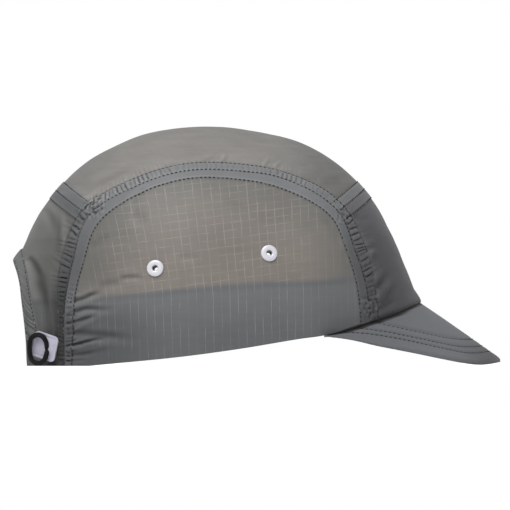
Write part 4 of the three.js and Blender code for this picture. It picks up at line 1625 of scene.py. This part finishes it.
def threads_over(grid: Array) -> Array:
    """Map of the threads of a grid, by lengths along it and out from its middle column."""
    sideways = lengths_along(grid, axis=0)
    return np.stack([lengths_along(grid, axis=1), sideways - sideways[len(grid) // 2]], axis=-1)


def front_flare(points: Array) -> Array:
    """How far the rim turns out where it meets the peak: most at the front."""
    bearing = np.arctan2(points[..., 1], points[..., 0] - Crown.centre[0])
    return 1.7 * smoothstep(np.cos(bearing), 0.88, 1.0)


@dataclass
class FrontPanel(PanelCloth):
    """The backed panel over the forehead."""

    cells: tuple[int, int] = (170, 170)
    flare_height: float = 8.0

    def painted_light_and_shade(self, near: Near) -> Array:
        """Painted light and shade: darker in its lower half, lighter over the tapes."""
        tape = fade(np.minimum(near.side, near.cross), 5.4, 6.6)
        upper = 0.15 * mound(near.z, 66, 12) * smoothstep(near.side, 8, 14)
        strip = 0.34 * fade(near.side, 7.0, 10.0) * fade(near.z, 68, 82)
        strip = strip + 0.14 * fade(near.cross, 5.4, 6.6)
        return (1 - 0.3 * fade(near.z, 50, 92)) * (1 + 0.3 * tape + strip) * (1 - upper)

    def build(self, finishes: Finishes) -> None:
        """Builds the panel."""
        across, along = spread(self.cells[0], 0.45), spread(self.cells[1], 0.15)
        crown = self.crown
        foot = crown.bearing(crown.seam(np.array([float(crown.last_knot)]))[0])

        def rim(share: Array) -> Array:
            """Rim edge from the right foot to the left one."""
            return crown.rim_points(foot * (1 - 2 * share))

        grid = crown.patch(
            rim,
            crown.cross_edge(crown.front_junction),
            self.front_leg,
            lambda share: mirrored(self.front_leg(share)),
            across,
            along,
        )
        grid[:, 0] = rim(across)
        above = grid[..., 2] - grid[:, :1, 2]
        rise = front_flare(grid) * fade(above, 0, self.flare_height)
        on_rim = np.zeros(grid.shape[:2], bool)
        on_rim[:, 0] = True
        skin = self.dress(grid, Region.FRONT, threads_over(grid), rise, on_rim)
        # Painted shadow: the panel's foot is darkened just above the rim, where the peak meets it.
        joint = 1 - 0.55 * fade(above, 0.4, 1.8)
        skin.marks["shade"] = skin.marks["shade"] * np.tile(joint.ravel(), 2)
        place(skin.build("front_cloth", finishes.front), "front_cloth", "front_panel")


@dataclass
class BackOpening:
    """The arched opening at the back, as curves round it."""

    crown: Crown
    half_width: float = 30.0
    height: float = 57.2
    power: float = 2.2
    corner: float = 52.0
    hem_widths: Table = table([0, 45, 70, 90], [12, 11.6, 9.4, 7.4])

    def from_foot(self, angles: Array) -> Array:
        """Turns angles from the right foot into angles from the nearer one."""
        return np.minimum(angles, np.pi - angles)

    def hem_width(self, angles: Array) -> Array:
        """Width of the hem at angles from its right foot: narrowest at the top of the arch."""
        return self.hem_widths(np.degrees(self.from_foot(angles)))

    def arch(self, outward: Array | float, angles: Array) -> Array:
        """Points a distance outside the opening, at angles from its right foot in radians."""
        y = -(self.half_width + outward) * fuller(np.cos(angles), self.power)
        z = (self.height + outward) * fuller(np.sin(angles), self.power)
        return self.crown.back(y, z)

    def angles(self, leg: Array, bridge: Array) -> Array:
        """Angles that pair with shares of the rear leg, the cross seam and the other leg."""
        over = self.corner + bridge * (180 - 2 * self.corner)
        return np.radians(np.concatenate([leg * self.corner, over, 180 - leg[::-1] * self.corner]))


@dataclass
class BackPanel(PanelCloth):
    """The panel between the elastic hem and the seams: two legs and a bridge."""

    opening: BackOpening | None = None
    line_share: float = 0.3
    leg_cells: int = 230
    bridge_cells: int = 120
    rows: int = 44
    valley_depth: float = 1.9
    shadow_edge: Table = table(
        [16, 24, 32, 39, 44.5, 50, 57, 61],
        [-115.4, -116, -117.4, -120, -121.4, -121.6, -123.8, -125.6],
    )

    def painted_light_and_shade(self, near: Near) -> Array:
        """Painted shade and light: darker low down, a painted shadow on the right of the valley's sharp
        edge, and a painted highlight on its left.
        """
        past = near.x - self.shadow_edge(near.z)
        under = fade(near.z, 58, 63)
        # core and broad are painted shadow to the right of the valley's edge; ridge is a painted
        # highlight to its left.
        core = 0.3 * mound(past, 2.6, 2.0) * fade(near.z, 54, 63) * smoothstep(near.z, 34, 46)
        broad = smoothstep(past, -1.0, 3.4) * (0.1 + 0.44 * fade(near.z, 34, 54)) * under
        ridge = 0.3 * mound(past, -2.4, 2.4) * under * (near.z > 4)
        tape = 0.1 * fade(near.cross, 5.4, 6.6)
        slow = 1 + 0.12 * smoothstep(near.z, 74, 90)
        slow = slow - 0.12 * fade(near.z, 64, 74) - 0.16 * fade(near.z, 24, 60)
        return slow * (1 - core) * (1 - broad) * (1 + ridge) * (1 - tape)

    def build(self, finishes: Finishes) -> None:
        """Builds the panel."""
        crown = self.crown
        leg, bridge = spread(self.leg_cells, 0.15), spread(self.bridge_cells, 0.45)[1:-1]
        angles = self.opening.angles(leg, bridge)
        cross = crown.cross_edge(crown.rear_junction)
        leg_line = self.leg(leg)
        outer = np.concatenate([leg_line, cross(bridge), mirrored(leg_line[::-1])])
        inner = self.opening.arch(self.opening.hem_width(angles) - 0.4, angles)
        share = spread(self.rows, 0.3)
        grid = crown.settle(blend(inner[:, None], outer[:, None], share[None, :, None]))
        valley = np.sin(np.pi * np.minimum(1, share * 1.5))[None] ** 2 * fade(grid[..., 2], 40, 62)
        on_rim = np.zeros(grid.shape[:2], bool)
        on_rim[[0, -1]] = True
        bearing = np.arctan2(grid[..., 1], crown.centre[0] - grid[..., 0])
        threads = np.stack([bearing * 100, grid[..., 2]], axis=-1)
        skin = self.dress(grid, Region.BACK, threads, -self.valley_depth * valley, on_rim)
        place(skin.build("back_cloth", finishes.back), "ripstop", "back_panel")


@dataclass
class BackHem:
    """The elastic hem round the opening: a padded strip that turns outwards at its free edge."""

    crown: Crown
    opening: BackOpening
    cells: int = 340
    rows: int = 26
    width: float = 11.7
    outside: Table = table(
        [0, 0.4, 1, 2, 3, 9, 10.6, 11.7],
        [-0.7, 0.05, 0.55, 0.85, 0.9, 0.85, 0.6, -0.1],
    )
    inside: Table = table([0, 0.4, 1.2, 3, 9, 11.7], [-0.9, -1.45, -1.7, -1.7, -1.7, -1.2])
    flares: Table = table(
        [0, 14, 26, 40, 50, 60, 70, 80, 90],
        [4.3, 2.35, 1.2, 0.75, 0.95, 1.85, 2.95, 3.5, 3.2],
    )
    full_width: float = 12.0
    stitch_rows: tuple[float, float] = (2.8, 10.2)

    def _raised(self, across: Array, angles: Array, side: Table) -> tuple[Array, Array, Array]:
        """Points of one face of the hem, their normals and the height of the wrinkles."""
        flat = np.broadcast_to(angles[:, None], (len(angles), len(across)))
        out = across[None] * self.opening.hem_width(angles)[:, None] / self.full_width
        points = self.opening.arch(out.ravel(), flat.ravel())
        points = points.reshape(*flat.shape, 3)
        normals = self.crown.normal(points)
        from_foot = self.opening.from_foot(angles)
        normals = np.where((from_foot < 1e-6)[:, None, None], levelled(normals), normals)
        turn = self.flares(np.degrees(from_foot))
        flare = turn[:, None] * np.maximum(1 - across / self.full_width, 0)[None] ** 1.2
        wrinkles = self._wrinkles(points, across[None])
        height = flare + side(across)[None] + wrinkles
        return points + normals * height[..., None], normals, wrinkles

    def _wrinkles(self, points: Array, across: Array) -> Array:
        """Slanting wrinkles that the elastic draws into the hem, most on its legs."""
        along = points[..., 2] + (1.0 + 0.3 * wander(points[..., 2] / 7, 23)) * across
        phase = along / 4.2 + 0.6 * wander(along / 9, 21)
        share = phase - np.floor(phase)
        ridge = np.sin(np.pi * share) ** 0.8 * (0.15 + 0.85 * random_steps(phase, 22))
        inside = smoothstep(across, 1.0, 3.5) * fade(across, 8.5, 11)
        leg = 0.25 + 0.75 * fade(points[..., 2], 30, 54)
        return 0.7 * ridge * inside * leg - 0.25 * inside * leg

    def build(self, finishes: Finishes) -> None:
        """Builds the hem and its two rows of stitches."""
        angles = np.linspace(0, np.pi, self.cells + 1)
        across = spread(self.rows, 0.4) * self.width
        outer, _, wrinkles = self._raised(across, angles, self.outside)
        inner, _, _ = self._raised(across, angles, self.inside)
        z = outer[..., 2]
        threads = np.stack([np.broadcast_to(across, z.shape), z], axis=-1)
        # Painted shade: darker in the wrinkles and low down near the free edge; painted light makes it
        # lighter high up.
        shade = shaded(wrinkles * 1.3) * (1 - 0.34 * fade(z, 20, 40) * fade(across, 4, 8)[None])
        shade *= 1 + 0.14 * smoothstep(z, 40, 52)
        marks = {"backed": np.zeros(z.shape), "taped": np.zeros(z.shape), "shade": shade}
        skin = wall(outer, inner, {"cloth": threads}, marks)
        place(skin.build("elastic_hem", finishes.hem), "ripstop", "back_hem")
        rows = []
        for at in self.stitch_rows:
            turns = np.linspace(0.02, np.pi - 0.02, 500)
            points, normals, _ = self._raised(np.array([at]), turns, self.outside)
            depth = 0.1 + 0.4 * smoothstep(self.opening.from_foot(turns), 1.25, 1.5)
            rows.append(StitchRow(points[:, 0] - normals[:, 0] * depth[:, None], normals[:, 0]))
        stitching = Stitching("hem_stitches", pitch=2.2, length=1.3, width=0.95, height=0.9, seed=31)
        place(stitching.sew(rows, finishes.hem_thread), "ripstop")


@dataclass
class Lining:
    """The tapes under the seams and the sweatband inside the rim."""

    crown: Crown
    tape_width: float = 12.0
    tape_depths: tuple[float, float] = (1.5, 2.3)
    band_depths: tuple[float, float] = (2.9, 3.9)
    band_bearing: float = 149.0
    band_lift: float = 1.5
    band_heights: tuple[float, float] = (35.0, 29.0)

    def _strip(self, middle: Array) -> Skin:
        """A tape under a line of seam points."""
        along = unit(np.gradient(middle, axis=0))
        across = unit(np.cross(self.crown.normal(middle), along))
        offsets = np.linspace(-0.5, 0.5, 9) * self.tape_width
        grid = self.crown.settle(middle[:, None] + across[:, None] * offsets[None, :, None])
        return self._sunk(grid, self.tape_depths)

    def _sunk(self, grid: Array, depths: tuple[float, float]) -> Skin:
        """A wall at two depths under the crown."""
        normals = self.crown.normal(grid)
        outer, inner = (grid - normals * depth for depth in depths)
        return wall(outer, inner, {"cloth": threads_over(grid)}, {})

    def build(self, finishes: Finishes) -> None:
        """Builds the tapes and the sweatband."""
        crown = self.crown
        knots = np.linspace(0.06, crown.last_knot - 0.06, 260)
        tape = self._strip(crown.seam(knots))
        place(tape.build("side_tape_right", finishes.lining), "lining", "seam_tape_right")
        other = tape.other_side()
        place(other.build("side_tape_left", finishes.lining), "lining", "seam_tape_left")
        for end, junction in (("front", crown.front_junction), ("back", crown.rear_junction)):
            edge = crown.cross_edge(junction)
            width = 2 * np.linalg.norm(np.subtract(*edge(np.array([0.0, 0.5]))))
            clear = (self.tape_width / 2 + 1) / width
            strip = self._strip(edge(np.linspace(clear, 1 - clear, 100)))
            place(strip.build(f"cross_tape_{end}", finishes.lining), "lining", f"seam_tape_{end}")
        bearings = np.radians(np.linspace(-self.band_bearing, self.band_bearing, 241))
        heights = blend(*self.band_heights, smoothstep(np.cos(bearings), 0.3, 0.9))
        levels = [self.band_lift + share * heights for share in np.linspace(0, 1, 17)]
        grid = np.stack([crown.rim_points(bearings, level) for level in levels], axis=1)
        band = self._sunk(grid, self.band_depths)
        place(band.build("sweatband_strip", finishes.lining), "lining", "sweatband")


@dataclass
class Peak:
    """The curved peak: a soft board in cloth, with three rows of stitches along its edge."""

    crown: Crown
    root_x: float = 37.4
    reach: float = 96.4
    half_width: float = 72.0
    power: float = 2.15
    depths: tuple[float, float] = (1.4, 2.6)
    corner_depth: float = 0.5
    binding_radius: float = 0.6
    crowning: float = 0.2
    seat: float = 0.6
    wall_half: float = 0.6
    edge_radius: float = 1.25
    cells: tuple[int, int] = (200, 48)
    rows: tuple[float, float, float] = (5.8, 10.0, 15.2)
    corner_rows: tuple[float, float, float] = (9.0, 12.7, 18.7)
    edge_height: Table = table(
        [37.4, 54, 67.7, 89.7, 104, 115, 122, 128, 134],
        [15.4, 13.2, 10.4, 5.9, 2.9, 0.8, 0, 0.4, 1.6],
    )

    def surface(self, shares: Array, outs: Array) -> tuple[Array, Array]:
        """Points of the upper face.

        Args:
            shares: Places along the edge, from -1 at the right corner to 1 at the left.
            outs: Places from the root to the edge, 0 to 1.

        Returns:
            The points and the board's depth at each of the shares.
        """
        start = self.crown.side(np.array([self.root_x]), self.crown.rim(np.array([self.root_x])))[0]
        corner = abs(self.crown.bearing(start))
        broad = fade(np.abs(shares), 0.6, 1.0)
        depth = self.depths[0] + (self.depths[1] - self.depths[0]) * broad
        root = self.crown.rim_points(corner * shares)
        level = levelled(self.crown.normal(root))
        root = root + level * (front_flare(root) - self.wall_half)[:, None]
        root[:, 2] -= self.seat
        x = self.root_x + self.reach * fuller(np.cos(shares * np.pi / 2), self.power)
        y = self.half_width * fuller(np.sin(shares * np.pi / 2), self.power)
        edge = np.stack([x, y, self.edge_height(x) + depth], axis=1)
        points = blend(root[:, None], edge[:, None], outs[None, :, None])
        # The bulge is greatest a third of the way out, where 6.75 brings its curve to one.
        bulge = 6.75 * broad * self.crowning
        points[..., 2] += bulge[:, None] * (outs * (1 - outs) ** 2)[None]
        return points, depth

    def _bind(self, finishes: Finishes) -> None:
        """Builds a near-black strip in the joint between the peak and the crown, a painted shadow under
        the crown's rim.
        """
        shares = np.linspace(-1, 1, 360)
        root, _ = self.surface(shares, np.array([0.0]))
        path = root[:, 0]
        path = path + levelled(self.crown.normal(path)) * 0.35
        path[:, 2] += 0.25
        thick = smoothstep(path[:, 0], 38, 52) * fade(path[:, 0], 70, 86)
        radius = self.binding_radius * (0.55 + 0.75 * thick)
        skin = tube(path, radius, 10, np.array([0.0, 0.0, 1.0]))
        place(skin.build("joint_binding", finishes.binding), "peak_cloth")

    def _outline(self) -> Array:
        """Points of the edge."""
        return self.surface(np.linspace(-1, 1, 900), np.array([1.0]))[0][:, 0]

    def _gaps(self, points: Array) -> Array:
        """Distance of each point from the edge, seen from above."""
        outline = self._outline()[None, :, :2]
        blocks = np.array_split(points.reshape(-1, 3)[:, None, :2], max(1, len(points) // 16))
        gaps = [np.linalg.norm(block - outline, axis=2).min(axis=1) for block in blocks]
        return np.concatenate(gaps).reshape(points.shape[:-1])

    def _wanted(self, x: Array | float, row: int) -> Array:
        """Distance that a row of stitches keeps from the edge: more at the corners."""
        return np.interp(x, [60, 120], [self.corner_rows[row], self.rows[row]])

    def _row(self, row: int) -> StitchRow:
        """A row of stitches that keeps its distance from the edge."""
        fine, _ = self.surface(np.linspace(-1, 1, 500), np.linspace(0, 1, 160))
        points = []
        for line, gaps in zip(fine, self._gaps(fine)):
            wanted = self._wanted(line[-1, 0], row)
            inner = np.argmax(gaps <= wanted)
            if inner == 0:
                continue
            share = (gaps[inner - 1] - wanted) / (gaps[inner - 1] - gaps[inner])
            points.append(blend(line[inner - 1], line[inner], share))
        line = np.array(points)
        along = unit(np.gradient(line, axis=0))
        normals = unit(np.cross(along, np.cross([0.0, 0.0, 1.0], along)))
        return StitchRow(line, normals)

    def build(self, finishes: Finishes) -> None:
        """Builds the peak and its stitches."""
        even = np.linspace(-1, 1, self.cells[0] + 1)
        shares = np.sin(even * np.pi / 2) * 0.35 + even * 0.65
        rolled = 0.94 + 0.06 * np.sin(np.linspace(0, np.pi / 2, 11))[1:]
        outs = np.concatenate([np.linspace(0, 0.94, self.cells[1] - 9), rolled])
        upper, depth = self.surface(shares, outs)
        gap = self._gaps(upper)
        radius = np.minimum(self.edge_radius, depth / 2)[:, None]
        inward = np.clip(1 - gap / radius, 0, 1)
        pull = radius * (1 - np.sqrt(1 - inward**2)) * 0.92
        lower = upper.copy()
        tip = smoothstep(np.abs(shares), 0.8, 1.0)
        lower[..., 2] -= (depth * (1 - tip) + self.corner_depth * tip)[:, None]
        wavy = 0.18 * cloud(upper, 24, 7.0)
        sewn = np.zeros_like(gap)
        for row in range(len(self.rows)):
            away = np.abs(gap - self._wanted(upper[..., 0], row))
            sewn = np.maximum(sewn, fade(away, 0.2, 1.6))
        height = wavy - 0.22 * sewn
        upper[..., 2] += height * smoothstep(gap, 0.5, 3) - pull
        lower[..., 2] += pull
        skin = wall(upper, lower, {"cloth": upper[..., :2]}, {"shade": self._shade(upper, sewn)})
        place(skin.build("peak_board", finishes.peak), "peak_cloth", "peak")
        self._bind(finishes)
        rows = [self._row(row) for row in range(len(self.rows))]
        stitching = Stitching("peak_stitches", pitch=2.6, length=1.7, width=0.55, height=0.35, seed=41)
        place(stitching.sew(rows, finishes.peak_thread), "peak_cloth")

    def _shade(self, upper: Array, sewn: Array) -> Array:
        """Tone of the cloth: a painted shadow in the joint with the crown, darker under stitches, and
        painted shade towards the tip and near the root.
        """
        x = upper[..., 0]
        open_joint = smoothstep(x, 34, 52) * fade(x, 72, 96)
        joint = fade(lengths_along(upper, axis=1), 1.1 + 1.2 * open_joint, 1.8 + 1.6 * open_joint)
        # Painted shade: darker towards the tip and near the root.
        side = (1 - 0.56 * smoothstep(x, 106, 134)) * (1 - 0.12 * fade(x, 66, 100))
        return (1 - 0.2 * sewn - 0.96 * joint) * side


def crown_frame(crown: Crown, point: Array) -> Array:
    """Frame on the crown: forward, up the cloth and out of it, as a 4 by 4 matrix."""
    out = crown.normal(point[None])[0]
    forward = unit(np.cross([0.0, 0.0, 1.0], out))
    frame = np.eye(4)
    frame[:3] = np.stack([forward, np.cross(out, forward), out, point], axis=1)
    return frame


@dataclass
class Eyelets:
    """Two pressed eyelets on each side."""

    crown: Crown
    segments: int = 64
    profile: tuple[tuple[float, float], ...] = (
        (1.4, 0.35),
        (1.5, 0.72),
        (1.8, 1.02),
        (2.2, 1.17),
        (2.8, 1.22),
        (3.5, 1.16),
        (4.1, 0.95),
        (4.45, 0.65),
        (4.6, 0.35),
        (4.5, 0.22),
        (2.35, 0.22),
        (2.2, -1.7),
        (3.85, -1.7),
        (4.0, -1.95),
        (3.75, -2.3),
        (1.6, -2.3),
        (1.4, -2.1),
    )

    def build(self, finishes: Finishes) -> None:
        """Builds the four eyelets."""
        for name, (x, z) in EYELET_PLACES.items():
            point = self.crown.side(np.array([x]), np.array([z]))[0]
            for side, at in (("right", point), ("left", mirrored(point))):
                ring = lathe(np.array(self.profile), self.segments, crown_frame(self.crown, at))
                made = ring.build(f"enamelled_eyelet_{side}_{name}", finishes.enamel, 50)
                place(made, "eyelet_enamel", f"eyelet_{side}_{name}")


def turned(axis: int, degrees: float) -> Array:
    """A 4 by 4 matrix that turns about the second axis (1) or the third (2)."""
    cos, sin = math.cos(math.radians(degrees)), math.sin(math.radians(degrees))
    frame = np.eye(4)
    if axis == 1:
        frame[0, 0], frame[0, 2], frame[2, 0], frame[2, 2] = cos, sin, -sin, cos
    else:
        frame[0, 0], frame[0, 1], frame[1, 0], frame[1, 1] = cos, -sin, sin, cos
    return frame


@dataclass
class CordPull:
    """The white tab on the right rear leg, with the loop of elastic cord in front of it."""

    crown: Crown
    middle: tuple[float, float] = (-113.5, 11.2)
    size: tuple[float, float, float] = (15.0, 14.5, 1.4)
    corner: float = 2.6
    lift: float = 3.2
    turn: float = 22.0
    tilt: float = -20.0
    diameter: float = 2.7
    route: tuple[tuple[float, float, float], ...] = (
        (1.49, -0.72, -0.9),
        (1.4, 1.22, 0.19),
        (0.81, 3.2, 1.0),
        (-0.56, 4.89, 1.41),
        (-2.6, 5.71, 1.5),
        (-4.8, 5.47, 1.5),
        (-6.71, 4.34, 1.5),
        (-7.97, 2.52, 1.5),
        (-8.35, 0.34, 1.5),
        (-8.1, -1.88, 1.5),
        (-7.57, -4.04, 1.5),
        (-6.84, -6.15, 1.5),
        (-5.76, -8.1, 1.5),
        (-4.06, -9.51, 1.5),
        (-1.89, -9.92, 1.5),
        (0.24, -9.31, 1.5),
        (1.91, -7.85, 1.5),
        (2.75, -5.81, 1.39),
        (2.64, -3.69, 0.79),
        (2.12, -1.95, -0.5),
    )

    def frame(self) -> Array:
        """The tab's frame: forward, up and out of its face."""
        point = self.crown.side(np.array([self.middle[0]]), np.array([self.middle[1]]))[0]
        lift = np.eye(4)
        lift[2, 3] = self.lift
        return crown_frame(self.crown, point) @ lift @ turned(1, self.turn) @ turned(2, self.tilt)

    def build_cord(self, finishes: Finishes) -> bpy.types.Object:
        frame = self.frame()
        local = np.array(self.route) + [0, 0, self.size[2]]
        knots = local @ frame[:3, :3].T + frame[:3, 3]
        path = Spline(knots)(np.linspace(0, len(knots) - 1, 120))
        skin = tube(path, self.diameter / 2, 16, frame[:3, 2])
        made = skin.build("cord_sleeve", finishes.cord, 60)
        place(made, "elastic_cord", "cord_loop")
        tuple(path[0] * MM)
        lengths_along(path)[-1] * MM
        [tuple(point) for point in path * MM]
        return made

    def _plate(self, levels: Sequence[tuple[float, float]], frame: Array) -> Skin:
        """The tab from rounded rings at an inset and a height each, closed at both ends."""
        rings = []
        for inset, height in levels:
            ring = []
            radius = max(self.corner - inset, 0.2)
            for right, up, start in ((1, 1, 0), (-1, 1, 90), (-1, -1, 180), (1, -1, 270)):
                x = right * (self.size[0] / 2 - inset - radius)
                y = up * (self.size[1] / 2 - inset - radius)
                for angle in np.radians(start + np.linspace(0, 90, 13)):
                    ring.append((x + radius * math.cos(angle), y + radius * math.sin(angle), height))
            rings.append(ring)
        local = np.array(rings)
        index = np.arange(local.shape[0] * local.shape[1]).reshape(local.shape[:2])
        ahead = np.roll(index, -1, axis=1)
        quads = np.stack([index[:-1], ahead[:-1], ahead[1:], index[1:]], axis=-1).reshape(-1, 4)
        points = local.reshape(-1, 3)
        placed = points @ frame[:3, :3].T + frame[:3, 3]
        return Skin(placed, [quads, index[:1, ::-1], index[-1:]], {"cloth": points[:, :2]})

    def build_tab(self, finishes: Finishes) -> None:
        """Builds the tab, with a fine groove round its face."""
        thick = self.size[2]
        levels = [(0.6, 0), (0.15, 0.1), (0, 0.35), (0, thick - 0.45), (0.12, thick - 0.15)]
        levels += [(0.5, thick), (1.1, thick), (1.3, thick - 0.12), (1.6, thick - 0.12), (1.8, thick)]
        tab = self._plate(levels, self.frame())
        place(tab.build("white_tab", finishes.tab, 35), "tab_white", "cord_tab")


@dataclass
class SeamStitches:
    """Three rows of stitches along each seam of the crown."""

    crown: Crown
    seams: Seams
    middle_row: float = 0.3
    raise_by: float = 0.2

    def _row(self, line: Array, offset: Array | float, region: Region) -> StitchRow:
        """A row beside a seam line."""
        along = unit(np.gradient(line, axis=0))
        across = unit(np.cross(self.crown.normal(line), along))
        points = self.crown.settle(line + across * np.reshape(offset, (-1, 1)))
        normals = self.crown.normal(points)
        near = self.seams.near(points, region)
        height = self.seams.relief(near, region) + self.raise_by
        if region is not Region.SIDE:
            height -= 0.28 * self.seams.gathered(near) * fade(near.x, 30, 44)
        return StitchRow(points + normals * height[:, None], normals)

    def build(self, finishes: Finishes) -> None:
        """Builds all rows of both sides and of the cross seams."""
        offset = self.seams.row_offset
        knots = np.linspace(0.07, self.crown.last_knot - 0.03, 900)
        line = self.crown.seam(knots)
        right = [
            self._row(line, -self.seams.width(knots, Region.SIDE), Region.SIDE),
            self._row(line, self.middle_row, Region.TOP),
            self._row(line, self.seams.width(knots, Region.TOP), Region.TOP),
        ]
        left = [StitchRow(mirrored(row.points), mirrored(row.normals)) for row in right]
        cross = []
        for junction in (self.crown.rear_junction, self.crown.front_junction):
            line = self.crown.cross_edge(junction)(np.linspace(0.03, 0.97, 360))
            cross += [self._row(line, at, Region.TOP) for at in (-offset, self.middle_row, offset)]
        stitching = Stitching("seam_stitches", pitch=2.35, length=1.5, width=0.66, height=0.55, seed=51)
        place(stitching.sew([*right, *left, *cross], finishes.seam_thread), "ripstop")


@dataclass
class Studio:
    """Camera, pale floor and soft light."""

    picture: int = 510
    shown_width: float = 280.5
    aim: tuple[float, float] = (-1.1, 61.0)
    distance: float = 12000.0
    eye_height: float = 4.0
    fill: float = 0.38
    key_spot: tuple[float, float, float] = (-0.38, -0.8, 1.5)
    key_angle: float = 36.0
    key_power: float = 3.5
    floor_half: float = 8.0

    def build_camera(self) -> None:
        """Makes the camera, level with the cap on its right side."""
        data = bpy.data.cameras.new("side_camera")
        data.sensor_fit = "HORIZONTAL"
        data.sensor_width = 36.0
        data.lens = data.sensor_width * self.distance / self.shown_width
        data.clip_end = 50
        made = bpy.data.objects.new("side_camera", data)
        bpy.context.scene.collection.objects.link(made)
        x, z = self.aim
        made.location = Vector((x, -self.distance, self.eye_height)) * MM
        made.rotation_euler = (math.pi / 2 + math.atan((z - self.eye_height) / self.distance), 0, 0)
        bpy.context.scene.camera = made

    def build_light(self) -> None:
        """Makes the world, the light and the floor."""
        scene = bpy.context.scene
        scene.view_settings.view_transform = "Standard"
        world = bpy.data.worlds.new("white_studio")
        scene.world = world
        world.use_nodes = True
        nodes, links = world.node_tree.nodes, world.node_tree.links
        seen = nodes["Background"]
        seen.inputs["Color"].default_value = (1, 1, 1, 1)
        seen.inputs["Strength"].default_value = 1.0
        fill = nodes.new("ShaderNodeBackground")
        fill.inputs["Color"].default_value = (0.97, 0.985, 1, 1)
        fill.inputs["Strength"].default_value = self.fill
        either = nodes.new("ShaderNodeMixShader")
        links.new(nodes.new("ShaderNodeLightPath").outputs["Is Camera Ray"], either.inputs["Fac"])
        links.new(fill.outputs["Background"], either.inputs[1])
        links.new(seen.outputs["Background"], either.inputs[2])
        links.new(either.outputs["Shader"], nodes["World Output"].inputs["Surface"])
        data = bpy.data.lights.new("key", "SUN")
        data.angle = math.radians(self.key_angle)
        data.energy = self.key_power
        made = bpy.data.objects.new("key", data)
        made.location = self.key_spot
        made.rotation_euler = (-Vector(self.key_spot)).to_track_quat("-Z", "Y").to_euler()
        scene.collection.objects.link(made)
        mesh = bpy.data.meshes.new("floor")
        half = self.floor_half
        corners = [(-half, -half, 0), (half, -half, 0), (half, half, 0), (-half, half, 0)]
        mesh.from_pydata(corners, [], [(0, 1, 2, 3)])
        floor = bpy.data.objects.new("floor", mesh)
        scene.collection.objects.link(floor)
        shader = Shader("pale_floor")
        grain = shader.cloudy(3, 2)
        tone = shader.scaled((0.88, 0.88, 0.88, 1), grain * 0.02 + 0.99)
        glow = {"emission_color": (1, 1, 1, 1), "emission_strength": 0.15}
        mesh.materials.append(shader.finish(base_color=tone, roughness=0.9, **glow))


def main() -> None:
    """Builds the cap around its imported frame."""
    logging.basicConfig(level=logging.INFO, format="%(message)s")
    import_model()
    studio = Studio()
    studio.build_camera()
    crown = Crown()
    finishes = Finishes.make()
    pull = CordPull(crown)
    pull.build_cord(finishes)
    seams = Seams(crown)
    opening = BackOpening(crown)
    for panel in (SidePanels, TopPanel, FrontPanel):
        panel(crown, seams).build(finishes)
    BackPanel(crown, seams, opening=opening).build(finishes)
    BackHem(crown, opening).build(finishes)
    Lining(crown).build(finishes)
    Peak(crown).build(finishes)
    Eyelets(crown).build(finishes)
    pull.build_tab(finishes)
    SeamStitches(crown, seams).build(finishes)
    studio.build_light()


if __name__ == "__main__":
    main()
